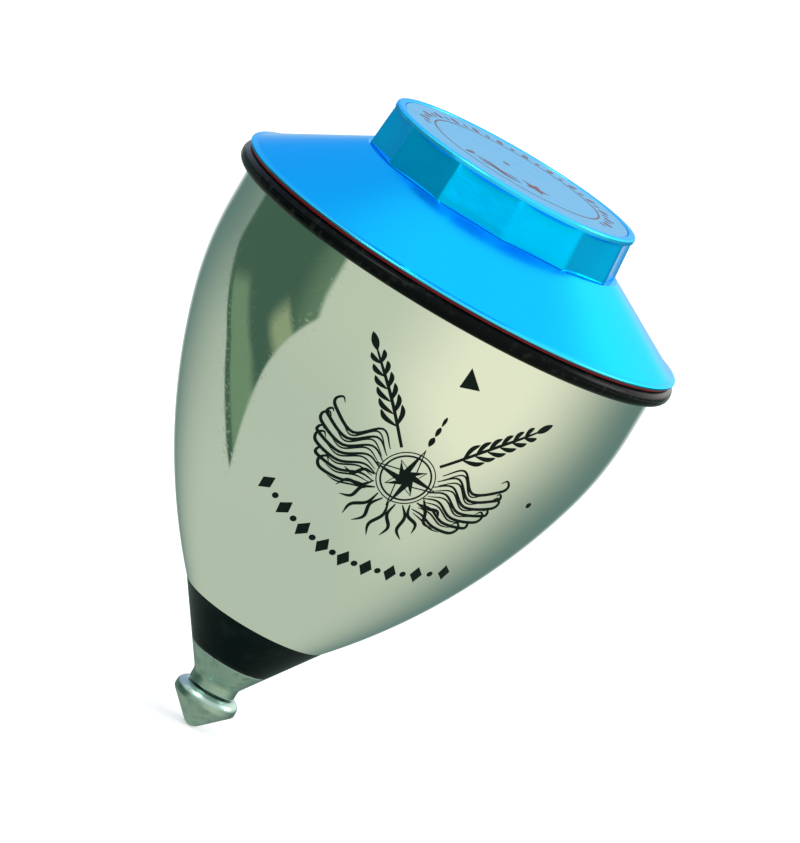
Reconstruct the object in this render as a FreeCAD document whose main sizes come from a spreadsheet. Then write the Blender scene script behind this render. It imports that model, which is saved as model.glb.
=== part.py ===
import FreeCAD, Part
import math
import os
import Sketcher

# A throwing top with a free-running tip. Lengths are in millimetres and angles in degrees.
# The Z axis is the spin axis, +Z points up to the crown, and the origin is where the tip meets the ground.

SIZES = (
    # the turned steel tip that stays still on the ground while the top spins above it
    ("tip_round", 1.5, "radius of the rounded end of the tip"),
    ("head_radius", 4.3, "widest radius of the tip's head"),
    ("head_band", 1.72, "height of the head above its widest edge"),
    ("head_edge_round", 0.6, "rounding of the head's lower edge"),
    ("head_top_round", 1.1, "rounding of the head's upper edge"),
    ("stem_radius", 2.0, "stem between the head and the bearing"),
    ("journal_radius", 1.5, "stem inside the bearing"),
    ("stem_tail", 1.0, "stem left above the clip"),
    ("stem_clearance", 0.3, "gap round the turning stem"),
    ("head_gap", 0.25, "gap between the turning head and the cone above it"),
    ("edge_break", 0.2, "small chamfer on turned edges"),
    # the fixed cone and the collar above it share one taper
    ("neck_radius", 3.2, "radius of the neck above the head"),
    ("neck_blend", 1.2, "hollow rounding from the neck to the cone"),
    ("neck_length", 1.287, "upright length of that neck"),
    ("shoulder_width", 1.0, "step from the spigot out to where the cone meets the collar"),
    ("taper", 0.684, "radius gained for each millimetre of height"),
    ("spigot_length", 3.7, "length of the threaded spigot on top of the cone"),
    ("spigot_relief", 0.4, "hollow in its end, clear of the inner race"),
    ("collar_height", 6.6, "height of the collar"),
    ("collar_wall", 0.6, "thinnest wall of the collar, round the housing's foot"),
    # a small deep-groove ball bearing
    ("bearing_radius", 4.0, "outside radius of the bearing"),
    ("bearing_width", 4.0, "width of the bearing"),
    ("inner_race_wall", 0.75, "thickness of the inner race"),
    ("outer_race_wall", 0.8, "thickness of the outer race"),
    ("groove_depth", 0.125, "how far each ball sits into a race"),
    ("ball_play", 0.03, "gap between a ball and its groove"),
    ("cage_clearance", 0.275, "gap between the ball cage and each race"),
    ("cage_bridge", 0.42, "cage left on each side of a ball's pocket"),
    ("cage_play", 0.08, "gap between a ball and its pocket"),
    ("shield_thickness", 0.25, "thickness of each shield"),
    ("shield_gap", 0.15, "gap between a shield and the inner race"),
    ("shield_lap", 0.2, "how far a shield reaches into the outer race"),
    ("washer_thickness", 0.4, "washer on the stem"),
    ("clip_thickness", 0.5, "clip that holds the stem in the bearing"),
    ("clip_radius", 2.7, "outside radius of that clip"),
    ("clip_depth", 0.35, "depth of the clip's groove in the stem"),
    ("clip_play", 0.05, "gap beside the clip in its groove"),
    ("clip_mouth", 1.9, "width of the clip's open side"),
    # the bearing housing and the tube that ties the top together
    ("thread_step", 0.5, "how far the spigot's thread stands outside the bearing"),
    ("housing_wall", 0.9, "wall of the bearing housing round that thread"),
    ("flange_radius", 8.4, "radius of its clamping flange"),
    ("flange_thickness", 1.6, "thickness of that flange"),
    ("ledge_radius", 3.4, "opening of that ledge"),
    ("chamber_height", 4.6, "height of the hollow above the bearing"),
    ("socket_length", 5.5, "threaded length the tube screws in"),
    ("tube_radius", 4.0, "outside radius of the tie tube"),
    ("slip_fit", 0.05, "radial gap of a part slipped over another"),
    # the body shell
    ("belly_radius", 28.86, "widest radius of the shell"),
    ("belly_level", 44.16, "height of the widest ring above the shell's foot"),
    ("upper_bow", 44.64, "radius of the outline's upper curve"),
    ("bow_joint", 32.29, "height where the lower curve takes over"),
    ("upright_height", 5.14, "height of the shell's upright top"),
    ("shell_wall", 1.4, "wall of the shell"),
    ("floor_thickness", 1.5, "thickness of the shell's floor"),
    # the ring of rubber, the trim and the cover
    ("ring_overhang", 1.84, "how far the rubber ring stands out of the shell"),
    ("ring_height", 2.2, "height of the rubber ring"),
    ("ring_flat", 0.2, "flat left in the middle of its round side"),
    ("trim_overhang", 1.2, "how far the trim ring stands out of the shell"),
    ("trim_thickness", 0.4, "thickness of the trim ring"),
    ("skirt_gap", 0.16, "gap round the cover's locating skirt"),
    ("skirt_wall", 1.2, "wall of that skirt"),
    ("skirt_depth", 6.0, "depth of that skirt"),
    ("rim_overhang", 1.5, "how far the cover's edge stands out of the shell"),
    ("lip_height", 0.3, "height of the cover's upright lip"),
    ("lip_break", 0.12, "rounding of that lip"),
    ("cover_rise", 7.0, "height of the cover's cone"),
    ("cover_wall", 1.5, "wall of the cover"),
    ("land_margin", 0.3, "flat left on the cover outside the crown"),
    ("boss_radius", 6.0, "boss under the middle of the cover"),
    ("boss_depth", 2.0, "depth of that boss"),
    ("clamp_gap", 0.5, "gap left between the boss and the tie tube"),
    # the faceted crown, its disc and its screw
    ("crown_radius", 17.05, "outside radius of the crown's lip"),
    ("crown_spread", 0.46, "how much wider the crown's foot is than its lip"),
    ("crown_height", 6.05, "height of the crown"),
    ("crown_top_round", 0.25, "rounding of its upper edge"),
    ("facet_count", 12, "number of facets round the crown"),
    ("facet_bow", 60.0, "radius of each facet's slight hollow"),
    ("facet_depth", 0.66, "depth of each facet at its middle"),
    ("lip_thickness", 0.7, "round lip left above the facets"),
    ("facet_turn", 24.0, "angle of the first facet from the front"),
    ("crown_rim", 1.1, "width of the crown's top edge round the disc"),
    ("disc_thickness", 0.3, "thickness of the printed disc"),
    ("disc_gap", 0.1, "gap round the disc in its recess"),
    ("peg_count", 2, "number of pegs that stop the crown turning"),
    ("peg_radius", 1.2, "radius of each peg"),
    ("peg_length", 1.2, "length of each peg"),
    ("peg_circle", 10.0, "distance of each peg from the axis"),
    ("peg_gap", 0.1, "gap round a peg in its hole"),
    ("screw_radius", 2.0, "shank of the crown screw"),
    ("screw_length", 20.0, "length of its shank"),
    ("screw_head_radius", 3.8, "radius of its head"),
    ("screw_head_height", 2.3, "height of its head"),
    ("screw_hole_gap", 0.15, "gap round the screw"),
    ("key_width", 2.5, "width across the flats of its hexagon socket"),
    ("key_depth", 1.4, "depth of that socket"),
    ("pocket_gap", 0.3, "gap round the screw's washer in its pocket"),
    ("crown_floor", 2.2, "crown left under the screw's washer"),
    ("spring_washer_thickness", 0.8, "washer under the screw's head"),
    ("spring_washer_radius", 4.0, "outside radius of that washer"),
    # the weight that keeps the top spinning
    ("sleeve_length", 22.0, "length of the spacer sleeve"),
    ("sleeve_wall", 1.35, "wall of the spacer sleeve"),
    ("hub_radius", 7.5, "hub of the flywheel"),
    ("hub_height", 5.0, "height of that hub"),
    ("web_thickness", 1.5, "web of the flywheel"),
    ("wheel_gap", 3.16, "how far the flywheel stays inside the shell's widest bore"),
    ("wheel_rim", 3.2, "radial thickness of its rim"),
    ("wheel_rim_height", 6.5, "height of its rim"),
    ("light_hole_radius", 4.2, "radius of each hole in its web"),
    ("light_hole_circle", 14.2, "distance of those holes from the axis"),
    ("light_hole_count", 6, "number of those holes"),
    ("plain_washer_radius", 7.5, "washer under the flywheel's nut"),
    ("plain_washer_thickness", 1.2, "thickness of that washer"),
    ("nut_width", 13.0, "width of the nut across its flats"),
    ("nut_height", 4.0, "height of the nut"),
)

BALL_COUNT = 8
FULL_TURN = 360
ROOT_TWO = math.sqrt(2)        # the tip's point is a cone of 45 degrees

doc = FreeCAD.newDocument("SpinningTop")


class Size:
    """A length with its number and the sheet expression that gives it."""

    def __init__(self, number, text):
        self.number = number
        self.text = text

    def __add__(self, other):
        other = as_size(other)
        return Size(self.number + other.number, "(%s + %s)" % (self.text, other.text))

    def __sub__(self, other):
        other = as_size(other)
        return Size(self.number - other.number, "(%s - %s)" % (self.text, other.text))

    def __mul__(self, other):
        other = as_size(other)
        return Size(self.number * other.number, "(%s * %s)" % (self.text, other.text))

    def __truediv__(self, other):
        other = as_size(other)
        return Size(self.number / other.number, "(%s / %s)" % (self.text, other.text))

    def __neg__(self):
        return Size(-self.number, "(0 - %s)" % self.text)


def as_size(value):
    """Let a plain number stand where a Size is wanted."""
    return value if isinstance(value, Size) else Size(float(value), repr(float(value)))


class Sheet:
    """The driving sizes, each reached by its name."""

    def __init__(self):
        sheet = doc.addObject("Spreadsheet::Sheet", "Sizes")
        for row, (name, value, note) in enumerate(SIZES, start=1):
            sheet.set("A%d" % row, name)
            sheet.set("B%d" % row, str(value))
            sheet.setAlias("B%d" % row, name)
            sheet.set("C%d" % row, note)
            setattr(self, name, Size(value, "Sizes." + name))
        doc.recompute()


class Drawing:
    """One sketch on an origin plane of its own body, with its rules bound to the sheet."""

    def __init__(self, body, plane, name):
        self.sketch = body.newObject("Sketcher::SketchObject", name)
        origin = [item for item in body.Origin.OriginFeatures if item.Role == plane][0]
        self.sketch.AttachmentSupport = [(origin, "")]
        self.sketch.MapMode = "FlatFace"

    def add(self, shape, helper=False):
        return self.sketch.addGeometry(shape, helper)

    def rule(self, kind, *where, size=None):
        """Add one constraint; a size gives it its value and its expression."""
        if size is None:
            return self.sketch.addConstraint(Sketcher.Constraint(kind, *where))
        index = self.sketch.addConstraint(Sketcher.Constraint(kind, *where, size.number))
        self.sketch.setExpression("Constraints[%d]" % index, size.text)
        return index

    def pin(self, geometry, point, across, up):
        """Hold a point at its distance from the sketch's origin."""
        self.rule("DistanceX", -1, 1, geometry, point, size=as_size(across))
        self.rule("DistanceY", -1, 1, geometry, point, size=as_size(up))

    def circle(self, across, up, radius):
        across, up = as_size(across), as_size(up)
        centre = FreeCAD.Vector(across.number, up.number, 0)
        index = self.add(Part.Circle(centre, FreeCAD.Vector(0, 0, 1), radius.number))
        self.rule("Radius", index, size=radius)
        self.pin(index, 3, across, up)


def arc_between(centre, start, end):
    """An arc that runs counter-clockwise from start to end."""
    circle = Part.Circle(centre, FreeCAD.Vector(0, 0, 1), (start - centre).Length)
    first = math.atan2(start.y - centre.y, start.x - centre.x)
    last = math.atan2(end.y - centre.y, end.x - centre.x)
    if last < first:
        last += 2 * math.pi
    return Part.ArcOfCircle(circle, first, last)


def round_corner(before, corner, after, radius):
    """Where a rounding of this radius leaves both sides of a corner, and its centre."""
    back = (before - corner).normalize()
    ahead = (after - corner).normalize()
    half = back.getAngle(ahead) / 2
    reach = radius / math.tan(half)
    centre = corner + (back + ahead).normalize() * (radius / math.sin(half))
    return corner + back * reach, corner + ahead * reach, centre


def draw_outline(drawing, corners):
    """Close an outline through its corners; a corner's third value is its rounding."""
    corners = [tuple(as_size(value) for value in corner) for corner in corners]
    places = [FreeCAD.Vector(corner[0].number, corner[1].number, 0) for corner in corners]
    count = len(corners)
    arrive, leave, centres = list(places), list(places), {}
    for i, corner in enumerate(corners):
        if len(corner) == 3:
            rounded = round_corner(places[i - 1], places[i], places[(i + 1) % count], corner[2].number)
            arrive[i], leave[i], centres[i] = rounded
    sides = [drawing.add(Part.LineSegment(leave[i], arrive[(i + 1) % count])) for i in range(count)]
    for i, corner in enumerate(corners):
        side_in, side_out = sides[i - 1], sides[i]
        if len(corner) == 2:
            drawing.rule("Coincident", side_in, 2, side_out, 1)
            drawing.pin(side_out, 1, corner[0], corner[1])
            continue
        turn = (arrive[i] - centres[i]).cross(leave[i] - centres[i]).z
        if turn > 0:
            arc, first, last = arc_between(centres[i], arrive[i], leave[i]), 1, 2
        else:
            arc, first, last = arc_between(centres[i], leave[i], arrive[i]), 2, 1
        bend = drawing.add(arc)
        mark = drawing.add(Part.Point(places[i]), True)
        drawing.rule("PointOnObject", mark, 1, side_in)
        drawing.rule("PointOnObject", mark, 1, side_out)
        drawing.rule("Tangent", side_in, 2, bend, first)
        drawing.rule("Tangent", bend, last, side_out, 1)
        drawing.rule("Radius", bend, size=corner[2])
        drawing.pin(mark, 1, corner[0], corner[1])


def new_body(name, seat):
    """A body of its own name, standing at its height on the spin axis."""
    body = doc.addObject("PartDesign::Body", name)
    body.Label = name
    body.setExpression(".Placement.Base.z", as_size(seat).text)
    return body


def revolve(body, drawing):
    turn = body.newObject("PartDesign::Revolution", body.Name + "_turning")
    turn.Profile = drawing.sketch
    turn.ReferenceAxis = (drawing.sketch, ["V_Axis"])
    turn.Angle = FULL_TURN
    body.Tip = turn
    return turn


def turned(name, seat, corners):
    """A piece turned about the spin axis, from corners given as radius and height above its seat."""
    body = new_body(name, seat)
    drawing = Drawing(body, "XZ_Plane", name + "_outline")
    draw_outline(drawing, corners)
    revolve(body, drawing)
    return body


def ring_corners(bore, radius, height):
    return [(bore, 0), (radius, 0), (radius, height), (bore, height)]


def cut(body, drawing, depth=None, upward=True, lean=None):
    """Cut a drawing out of a body, leaning if asked, and see that the body lost material."""
    doc.recompute()
    before = body.Shape.Volume
    pocket = body.newObject("PartDesign::Pocket", drawing.sketch.Name + "_cut")
    pocket.Profile = drawing.sketch
    pocket.Reversed = upward
    if depth is None:
        pocket.Type = "ThroughAll"
    else:
        pocket.Type = "Length"
        pocket.setExpression("Length", depth.text)
    if lean is not None:
        pocket.setExpression("TaperAngle", lean)
    body.Tip = pocket
    doc.recompute()
    if not body.Shape.Volume < before:
        raise RuntimeError("nothing was cut by " + pocket.Name)
    return pocket


def repeat_round(body, feature, count):
    """Repeat a feature evenly about the spin axis."""
    pattern = body.newObject("PartDesign::PolarPattern", feature.Name + "_round")
    pattern.Originals = [feature]
    pattern.Axis = (feature.Profile[0], ["N_Axis"])
    pattern.Angle = FULL_TURN
    pattern.setExpression("Occurrences", count.text)
    body.Tip = pattern
    return pattern


def hexagon(drawing, width):
    """A hexagon about the origin, given its width across the flats."""
    corner_radius = width.number / math.sqrt(3)
    spots = [FreeCAD.Vector(corner_radius * math.cos(math.radians(60 * i)),
                            corner_radius * math.sin(math.radians(60 * i)), 0) for i in range(6)]
    sides = [drawing.add(Part.LineSegment(spots[i], spots[(i + 1) % 6])) for i in range(6)]
    circle = drawing.add(Part.Circle(FreeCAD.Vector(), FreeCAD.Vector(0, 0, 1), corner_radius), True)
    for i, side in enumerate(sides):
        drawing.rule("Coincident", side, 2, sides[(i + 1) % 6], 1)
        drawing.rule("PointOnObject", side, 2, circle)
        if i:
            drawing.rule("Equal", sides[0], side)
    drawing.rule("Coincident", circle, 3, -1, 1)
    drawing.rule("PointOnObject", sides[0], 1, -1)
    drawing.rule("Radius", circle, size=width / math.sqrt(3))


SHEET = Sheet()

# Radii that more than one piece follows. The bearing sets the spigot, the housing and the collar.
SPIGOT_RADIUS = SHEET.bearing_radius + SHEET.thread_step
SHOULDER_RADIUS = SPIGOT_RADIUS + SHEET.shoulder_width
HOUSING_RADIUS = SPIGOT_RADIUS + SHEET.housing_wall
COLLAR_TOP_RADIUS = SHOULDER_RADIUS + SHEET.collar_height * SHEET.taper
STEM_HOLE = SHEET.stem_radius + SHEET.stem_clearance
INNER_RACE_RADIUS = SHEET.journal_radius + SHEET.inner_race_wall
OUTER_RACE_BORE = SHEET.bearing_radius - SHEET.outer_race_wall
SHIELD_RADIUS = OUTER_RACE_BORE + SHEET.shield_lap
BALL_RADIUS = (OUTER_RACE_BORE - INNER_RACE_RADIUS) / 2 + SHEET.groove_depth
BALL_CIRCLE = (INNER_RACE_RADIUS + OUTER_RACE_BORE) / 2
SCREW_HOLE = SHEET.screw_radius + SHEET.screw_hole_gap
SKIRT_RADIUS = SHEET.belly_radius - SHEET.shell_wall - SHEET.skirt_gap
RING_BORE = SKIRT_RADIUS + SHEET.skirt_gap / 2
CROWN_FOOT_RADIUS = SHEET.crown_radius + SHEET.crown_spread
DISC_RECESS = SHEET.crown_radius - SHEET.crown_rim

# Heights of the seats on the spin axis, from the ground up.
POINT_DEPTH = SHEET.tip_round * (ROOT_TWO - 1)        # the sharp cone would end this far below the ground
HEAD_EDGE = SHEET.head_radius - POINT_DEPTH
HEAD_HEIGHT = HEAD_EDGE + SHEET.head_band
NECK_LEVEL = HEAD_HEIGHT + SHEET.head_gap
CONE_LENGTH = SHEET.neck_length + (SHOULDER_RADIUS - SHEET.neck_radius) / SHEET.taper
SHOULDER_LEVEL = NECK_LEVEL + CONE_LENGTH
HOUSING_LIFT = (HOUSING_RADIUS + SHEET.slip_fit + SHEET.collar_wall - SHOULDER_RADIUS) / SHEET.taper
HOUSING_LEVEL = SHOULDER_LEVEL + HOUSING_LIFT
BEARING_LEVEL = SHOULDER_LEVEL + SHEET.spigot_length
BEARING_TOP = BEARING_LEVEL + SHEET.bearing_width
CLIP_LEVEL = BEARING_TOP + SHEET.washer_thickness + SHEET.clip_play
SHELL_LEVEL = SHOULDER_LEVEL + SHEET.collar_height
SOCKET_LEVEL = BEARING_TOP + SHEET.chamber_height
SLEEVE_LEVEL = SOCKET_LEVEL + SHEET.socket_length
WHEEL_LEVEL = SLEEVE_LEVEL + SHEET.sleeve_length
SHELL_HEIGHT = SHEET.belly_level + SHEET.upright_height
RING_LEVEL = SHELL_LEVEL + SHELL_HEIGHT
TRIM_LEVEL = RING_LEVEL + SHEET.ring_height
COVER_LEVEL = TRIM_LEVEL + SHEET.trim_thickness
CROWN_LEVEL = COVER_LEVEL + SHEET.lip_height + SHEET.cover_rise
SCREW_LEVEL = CROWN_LEVEL + SHEET.crown_floor + SHEET.spring_washer_thickness
DISC_LEVEL = CROWN_LEVEL + SHEET.crown_height - SHEET.disc_thickness


def make_tip_head():
    """The head that stands on the ground, with the stem that turns in the bearing."""
    groove_low = CLIP_LEVEL - SHEET.clip_play
    groove_high = CLIP_LEVEL + SHEET.clip_thickness + SHEET.clip_play
    groove = SHEET.journal_radius - SHEET.clip_depth
    end = groove_high + SHEET.stem_tail
    body = turned("tip_head", 0, [
        (0, -POINT_DEPTH), (SHEET.head_radius, HEAD_EDGE, SHEET.head_edge_round),
        (SHEET.head_radius, HEAD_HEIGHT, SHEET.head_top_round),
        (SHEET.stem_radius, HEAD_HEIGHT), (SHEET.stem_radius, BEARING_LEVEL),
        (SHEET.journal_radius, BEARING_LEVEL), (SHEET.journal_radius, groove_low),
        (groove, groove_low), (groove, groove_high), (SHEET.journal_radius, groove_high),
        (SHEET.journal_radius, end - SHEET.edge_break), (SHEET.journal_radius - SHEET.edge_break, end),
        (0, end)])
    round_the_point(body)


def round_the_point(body):
    """Turn the sharp end down to a ball that is tangent to the cone and touches the ground."""
    radius = SHEET.tip_round
    touch = radius / ROOT_TWO
    rise = radius - touch
    drawing = Drawing(body, "XZ_Plane", "tip_end_outline")
    arc = drawing.add(arc_between(FreeCAD.Vector(0, radius.number, 0), FreeCAD.Vector(0, 0, 0),
                                  FreeCAD.Vector(touch.number, rise.number, 0)))
    low = FreeCAD.Vector(0, -POINT_DEPTH.number, 0)
    axis = drawing.add(Part.LineSegment(FreeCAD.Vector(0, 0, 0), low))
    slope = drawing.add(Part.LineSegment(low, FreeCAD.Vector(touch.number, rise.number, 0)))
    drawing.rule("Coincident", axis, 1, arc, 1)
    drawing.rule("Coincident", axis, 2, slope, 1)
    drawing.rule("Coincident", slope, 2, arc, 2)
    drawing.pin(axis, 2, 0, -POINT_DEPTH)
    drawing.pin(arc, 3, 0, radius)
    drawing.rule("Radius", arc, size=radius)
    drawing.rule("PointOnObject", arc, 1, -2)
    drawing.rule("DistanceY", -1, 1, arc, 2, size=rise)
    doc.recompute()
    before = body.Shape.Volume
    groove = body.newObject("PartDesign::Groove", "tip_end_rounding")
    groove.Profile = drawing.sketch
    groove.ReferenceAxis = (drawing.sketch, ["V_Axis"])
    groove.Angle = FULL_TURN
    body.Tip = groove
    doc.recompute()
    if not body.Shape.Volume < before:
        raise RuntimeError("the point of the tip was not rounded")


def make_tip_cone():
    """The fixed cone: its neck stands clear of the head, and its spigot screws into the housing."""
    top = CONE_LENGTH + SHEET.spigot_length
    turned("tip_cone", NECK_LEVEL, [
        (STEM_HOLE, 0), (SHEET.neck_radius, 0), (SHEET.neck_radius, SHEET.neck_length, SHEET.neck_blend),
        (SHOULDER_RADIUS, CONE_LENGTH), (SPIGOT_RADIUS, CONE_LENGTH),
        (SPIGOT_RADIUS, top), (SHIELD_RADIUS, top),
        (SHIELD_RADIUS, top - SHEET.spigot_relief), (STEM_HOLE, top - SHEET.spigot_relief)])


def make_tip_collar():
    """The tapered collar between the metal cone and the shell."""
    foot_bore = SPIGOT_RADIUS + SHEET.slip_fit
    bore = HOUSING_RADIUS + SHEET.slip_fit
    turned("tip_collar", SHOULDER_LEVEL, [
        (foot_bore, 0), (SHOULDER_RADIUS, 0), (COLLAR_TOP_RADIUS, SHEET.collar_height),
        (bore, SHEET.collar_height), (bore, HOUSING_LIFT), (foot_bore, HOUSING_LIFT)])


def make_bearing():
    """Races with a running groove, caged balls and a shield on each side."""
    middle = SHEET.bearing_width / 2
    add_race("bearing_inner_race", ring_corners(SHEET.journal_radius, INNER_RACE_RADIUS,
                                                SHEET.bearing_width))
    step = SHEET.shield_thickness
    add_race("bearing_outer_race", [
        (SHIELD_RADIUS, 0), (SHEET.bearing_radius, 0), (SHEET.bearing_radius, SHEET.bearing_width),
        (SHIELD_RADIUS, SHEET.bearing_width), (SHIELD_RADIUS, SHEET.bearing_width - step),
        (OUTER_RACE_BORE, SHEET.bearing_width - step), (OUTER_RACE_BORE, step),
        (SHIELD_RADIUS, step)])
    make_cage(middle)
    make_balls(BEARING_LEVEL + middle)
    shield_bore = INNER_RACE_RADIUS + SHEET.shield_gap
    lower = plain_ring("lower_shield", BEARING_LEVEL, shield_bore, SHIELD_RADIUS, step)
    upper = plain_ring("upper_shield", BEARING_TOP - step, shield_bore, SHIELD_RADIUS, step)
    group("bearing_shields", [lower, upper])


def add_race(name, corners):
    """A race whose groove is turned out where the balls run."""
    body = turned(name, BEARING_LEVEL, corners)
    drawing = Drawing(body, "XZ_Plane", name + "_groove")
    drawing.circle(BALL_CIRCLE, SHEET.bearing_width / 2, BALL_RADIUS + SHEET.ball_play)
    doc.recompute()
    before = body.Shape.Volume
    groove = body.newObject("PartDesign::Groove", name + "_grooving")
    groove.Profile = drawing.sketch
    groove.ReferenceAxis = (drawing.sketch, ["V_Axis"])
    groove.Angle = FULL_TURN
    body.Tip = groove
    doc.recompute()
    if not body.Shape.Volume < before:
        raise RuntimeError("no groove was cut in " + name)


def make_cage(middle):
    """A ring with a round pocket for each ball."""
    pocket_radius = BALL_RADIUS + SHEET.cage_play
    low = middle - pocket_radius - SHEET.cage_bridge
    high = middle + pocket_radius + SHEET.cage_bridge
    inner = INNER_RACE_RADIUS + SHEET.cage_clearance
    outer = OUTER_RACE_BORE - SHEET.cage_clearance
    body = turned("bearing_cage", BEARING_LEVEL, [(inner, low), (outer, low), (outer, high), (inner, high)])
    drawing = Drawing(body, "XZ_Plane", "ball_pocket")
    drawing.circle(0, middle, pocket_radius)
    pocket = cut(body, drawing, depth=SHEET.bearing_radius, upward=False)
    pattern = body.newObject("PartDesign::PolarPattern", "ball_pockets")
    pattern.Originals = [pocket]
    pattern.Axis = (drawing.sketch, ["V_Axis"])
    pattern.Angle = FULL_TURN
    pattern.Occurrences = BALL_COUNT
    body.Tip = pattern


def make_balls(height):
    """Loose balls, evenly spaced round the spin axis and centred in the cage's pockets."""
    balls = []
    for number in range(BALL_COUNT):
        angle = FULL_TURN / BALL_COUNT * number + 90
        ball = doc.addObject("Part::Sphere", "ball_%d" % (number + 1))
        ball.setExpression("Radius", BALL_RADIUS.text)
        ball.setExpression(".Placement.Base.x", "%s * cos(%r deg)" % (BALL_CIRCLE.text, angle))
        ball.setExpression(".Placement.Base.y", "%s * sin(%r deg)" % (BALL_CIRCLE.text, angle))
        ball.setExpression(".Placement.Base.z", height.text)
        balls.append(ball)
    group("bearing_balls", balls)


def plain_ring(name, seat, bore, radius, height):
    """A flat ring made of one cylinder less another."""
    solids = []
    for suffix, size in (("_disc", radius), ("_hole", bore)):
        solid = doc.addObject("Part::Cylinder", name + suffix)
        solid.setExpression("Radius", size.text)
        solid.setExpression("Height", height.text)
        solids.append(solid)
    ring = doc.addObject("Part::Cut", name)
    ring.Base, ring.Tool = solids
    ring.Label = name
    ring.setExpression(".Placement.Base.z", seat.text)
    return ring


def group(name, members):
    """Several separate solids that share one name."""
    compound = doc.addObject("Part::Compound", name)
    compound.Label = name
    compound.Links = members
    return compound


def make_stem_fixings():
    """The washer and the open clip that keep the stem in the inner race."""
    plain_ring("stem_washer", BEARING_TOP, SHEET.journal_radius + SHEET.slip_fit,
               INNER_RACE_RADIUS, SHEET.washer_thickness)
    bore = SHEET.journal_radius - SHEET.clip_depth + SHEET.slip_fit
    body = turned("stem_clip", CLIP_LEVEL, ring_corners(bore, SHEET.clip_radius, SHEET.clip_thickness))
    drawing = Drawing(body, "XY_Plane", "clip_mouth")
    half = SHEET.clip_mouth / 2
    reach = SHEET.clip_radius * 2
    draw_outline(drawing, [(0, -half), (reach, -half), (reach, half), (0, half)])
    cut(body, drawing)


def make_bearing_housing():
    """The housing: bearing seat below, clamping flange in the middle, socket for the tube above."""
    bearing_seat = BEARING_LEVEL - HOUSING_LEVEL
    ledge = BEARING_TOP - HOUSING_LEVEL
    flange = SHELL_LEVEL + SHEET.floor_thickness - HOUSING_LEVEL
    socket = SOCKET_LEVEL - HOUSING_LEVEL
    top = socket + SHEET.socket_length
    turned("bearing_housing", HOUSING_LEVEL, [
        (SPIGOT_RADIUS, 0), (HOUSING_RADIUS, 0), (HOUSING_RADIUS, flange),
        (SHEET.flange_radius, flange), (SHEET.flange_radius, flange + SHEET.flange_thickness),
        (HOUSING_RADIUS, flange + SHEET.flange_thickness), (HOUSING_RADIUS, top),
        (SHEET.tube_radius, top), (SHEET.tube_radius, socket), (SHEET.ledge_radius, socket),
        (SHEET.ledge_radius, ledge), (SHEET.bearing_radius, ledge), (SHEET.bearing_radius, bearing_seat),
        (SPIGOT_RADIUS, bearing_seat)])


def make_body_shell():
    """The hollow shell: two curves that meet smoothly, an upright top and a flat floor."""
    body = new_body("body_shell", SHELL_LEVEL)
    drawing = Drawing(body, "XZ_Plane", "shell_outline")
    upper = FreeCAD.Vector(SHEET.belly_radius.number - SHEET.upper_bow.number, SHEET.belly_level.number, 0)
    bow = SHEET.upper_bow.number
    drop = upper.y - SHEET.bow_joint.number
    joint = FreeCAD.Vector(upper.x + math.sqrt(bow ** 2 - drop ** 2), SHEET.bow_joint.number, 0)
    foot = FreeCAD.Vector(COLLAR_TOP_RADIUS.number, 0, 0)
    outward = (joint - upper).normalize()
    lower_bow = -(foot - joint).dot(foot - joint) / (2 * outward.dot(foot - joint))
    lower = joint - outward * lower_bow
    wall = SHEET.shell_wall.number
    floor = SHEET.floor_thickness.number
    reach = math.sqrt((lower_bow - wall) ** 2 - (lower.y - floor) ** 2)
    belly, top = SHEET.belly_level.number, SHELL_HEIGHT.number
    spots = {
        "foot": foot, "joint": joint, "belly": FreeCAD.Vector(SHEET.belly_radius.number, belly, 0),
        "top": FreeCAD.Vector(SHEET.belly_radius.number, top, 0),
        "top_in": FreeCAD.Vector(SHEET.belly_radius.number - wall, top, 0),
        "belly_in": FreeCAD.Vector(SHEET.belly_radius.number - wall, belly, 0),
        "joint_in": joint - outward * wall, "floor_in": FreeCAD.Vector(lower.x + reach, floor, 0),
        "hole_in": FreeCAD.Vector(HOUSING_RADIUS.number, floor, 0),
        "hole": FreeCAD.Vector(HOUSING_RADIUS.number, 0, 0)}
    low_out = drawing.add(arc_between(lower, spots["foot"], spots["joint"]))
    high_out = drawing.add(arc_between(upper, spots["joint"], spots["belly"]))
    low_in = drawing.add(arc_between(lower, spots["floor_in"], spots["joint_in"]))
    high_in = drawing.add(arc_between(upper, spots["joint_in"], spots["belly_in"]))
    names = ["belly", "top", "top_in", "belly_in"]
    cap = [drawing.add(Part.LineSegment(spots[a], spots[b])) for a, b in zip(names, names[1:])]
    names = ["floor_in", "hole_in", "hole", "foot"]
    base = [drawing.add(Part.LineSegment(spots[a], spots[b])) for a, b in zip(names, names[1:])]
    join_shell(drawing, low_out, high_out, low_in, high_in, cap, base)
    revolve(body, drawing)


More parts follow.
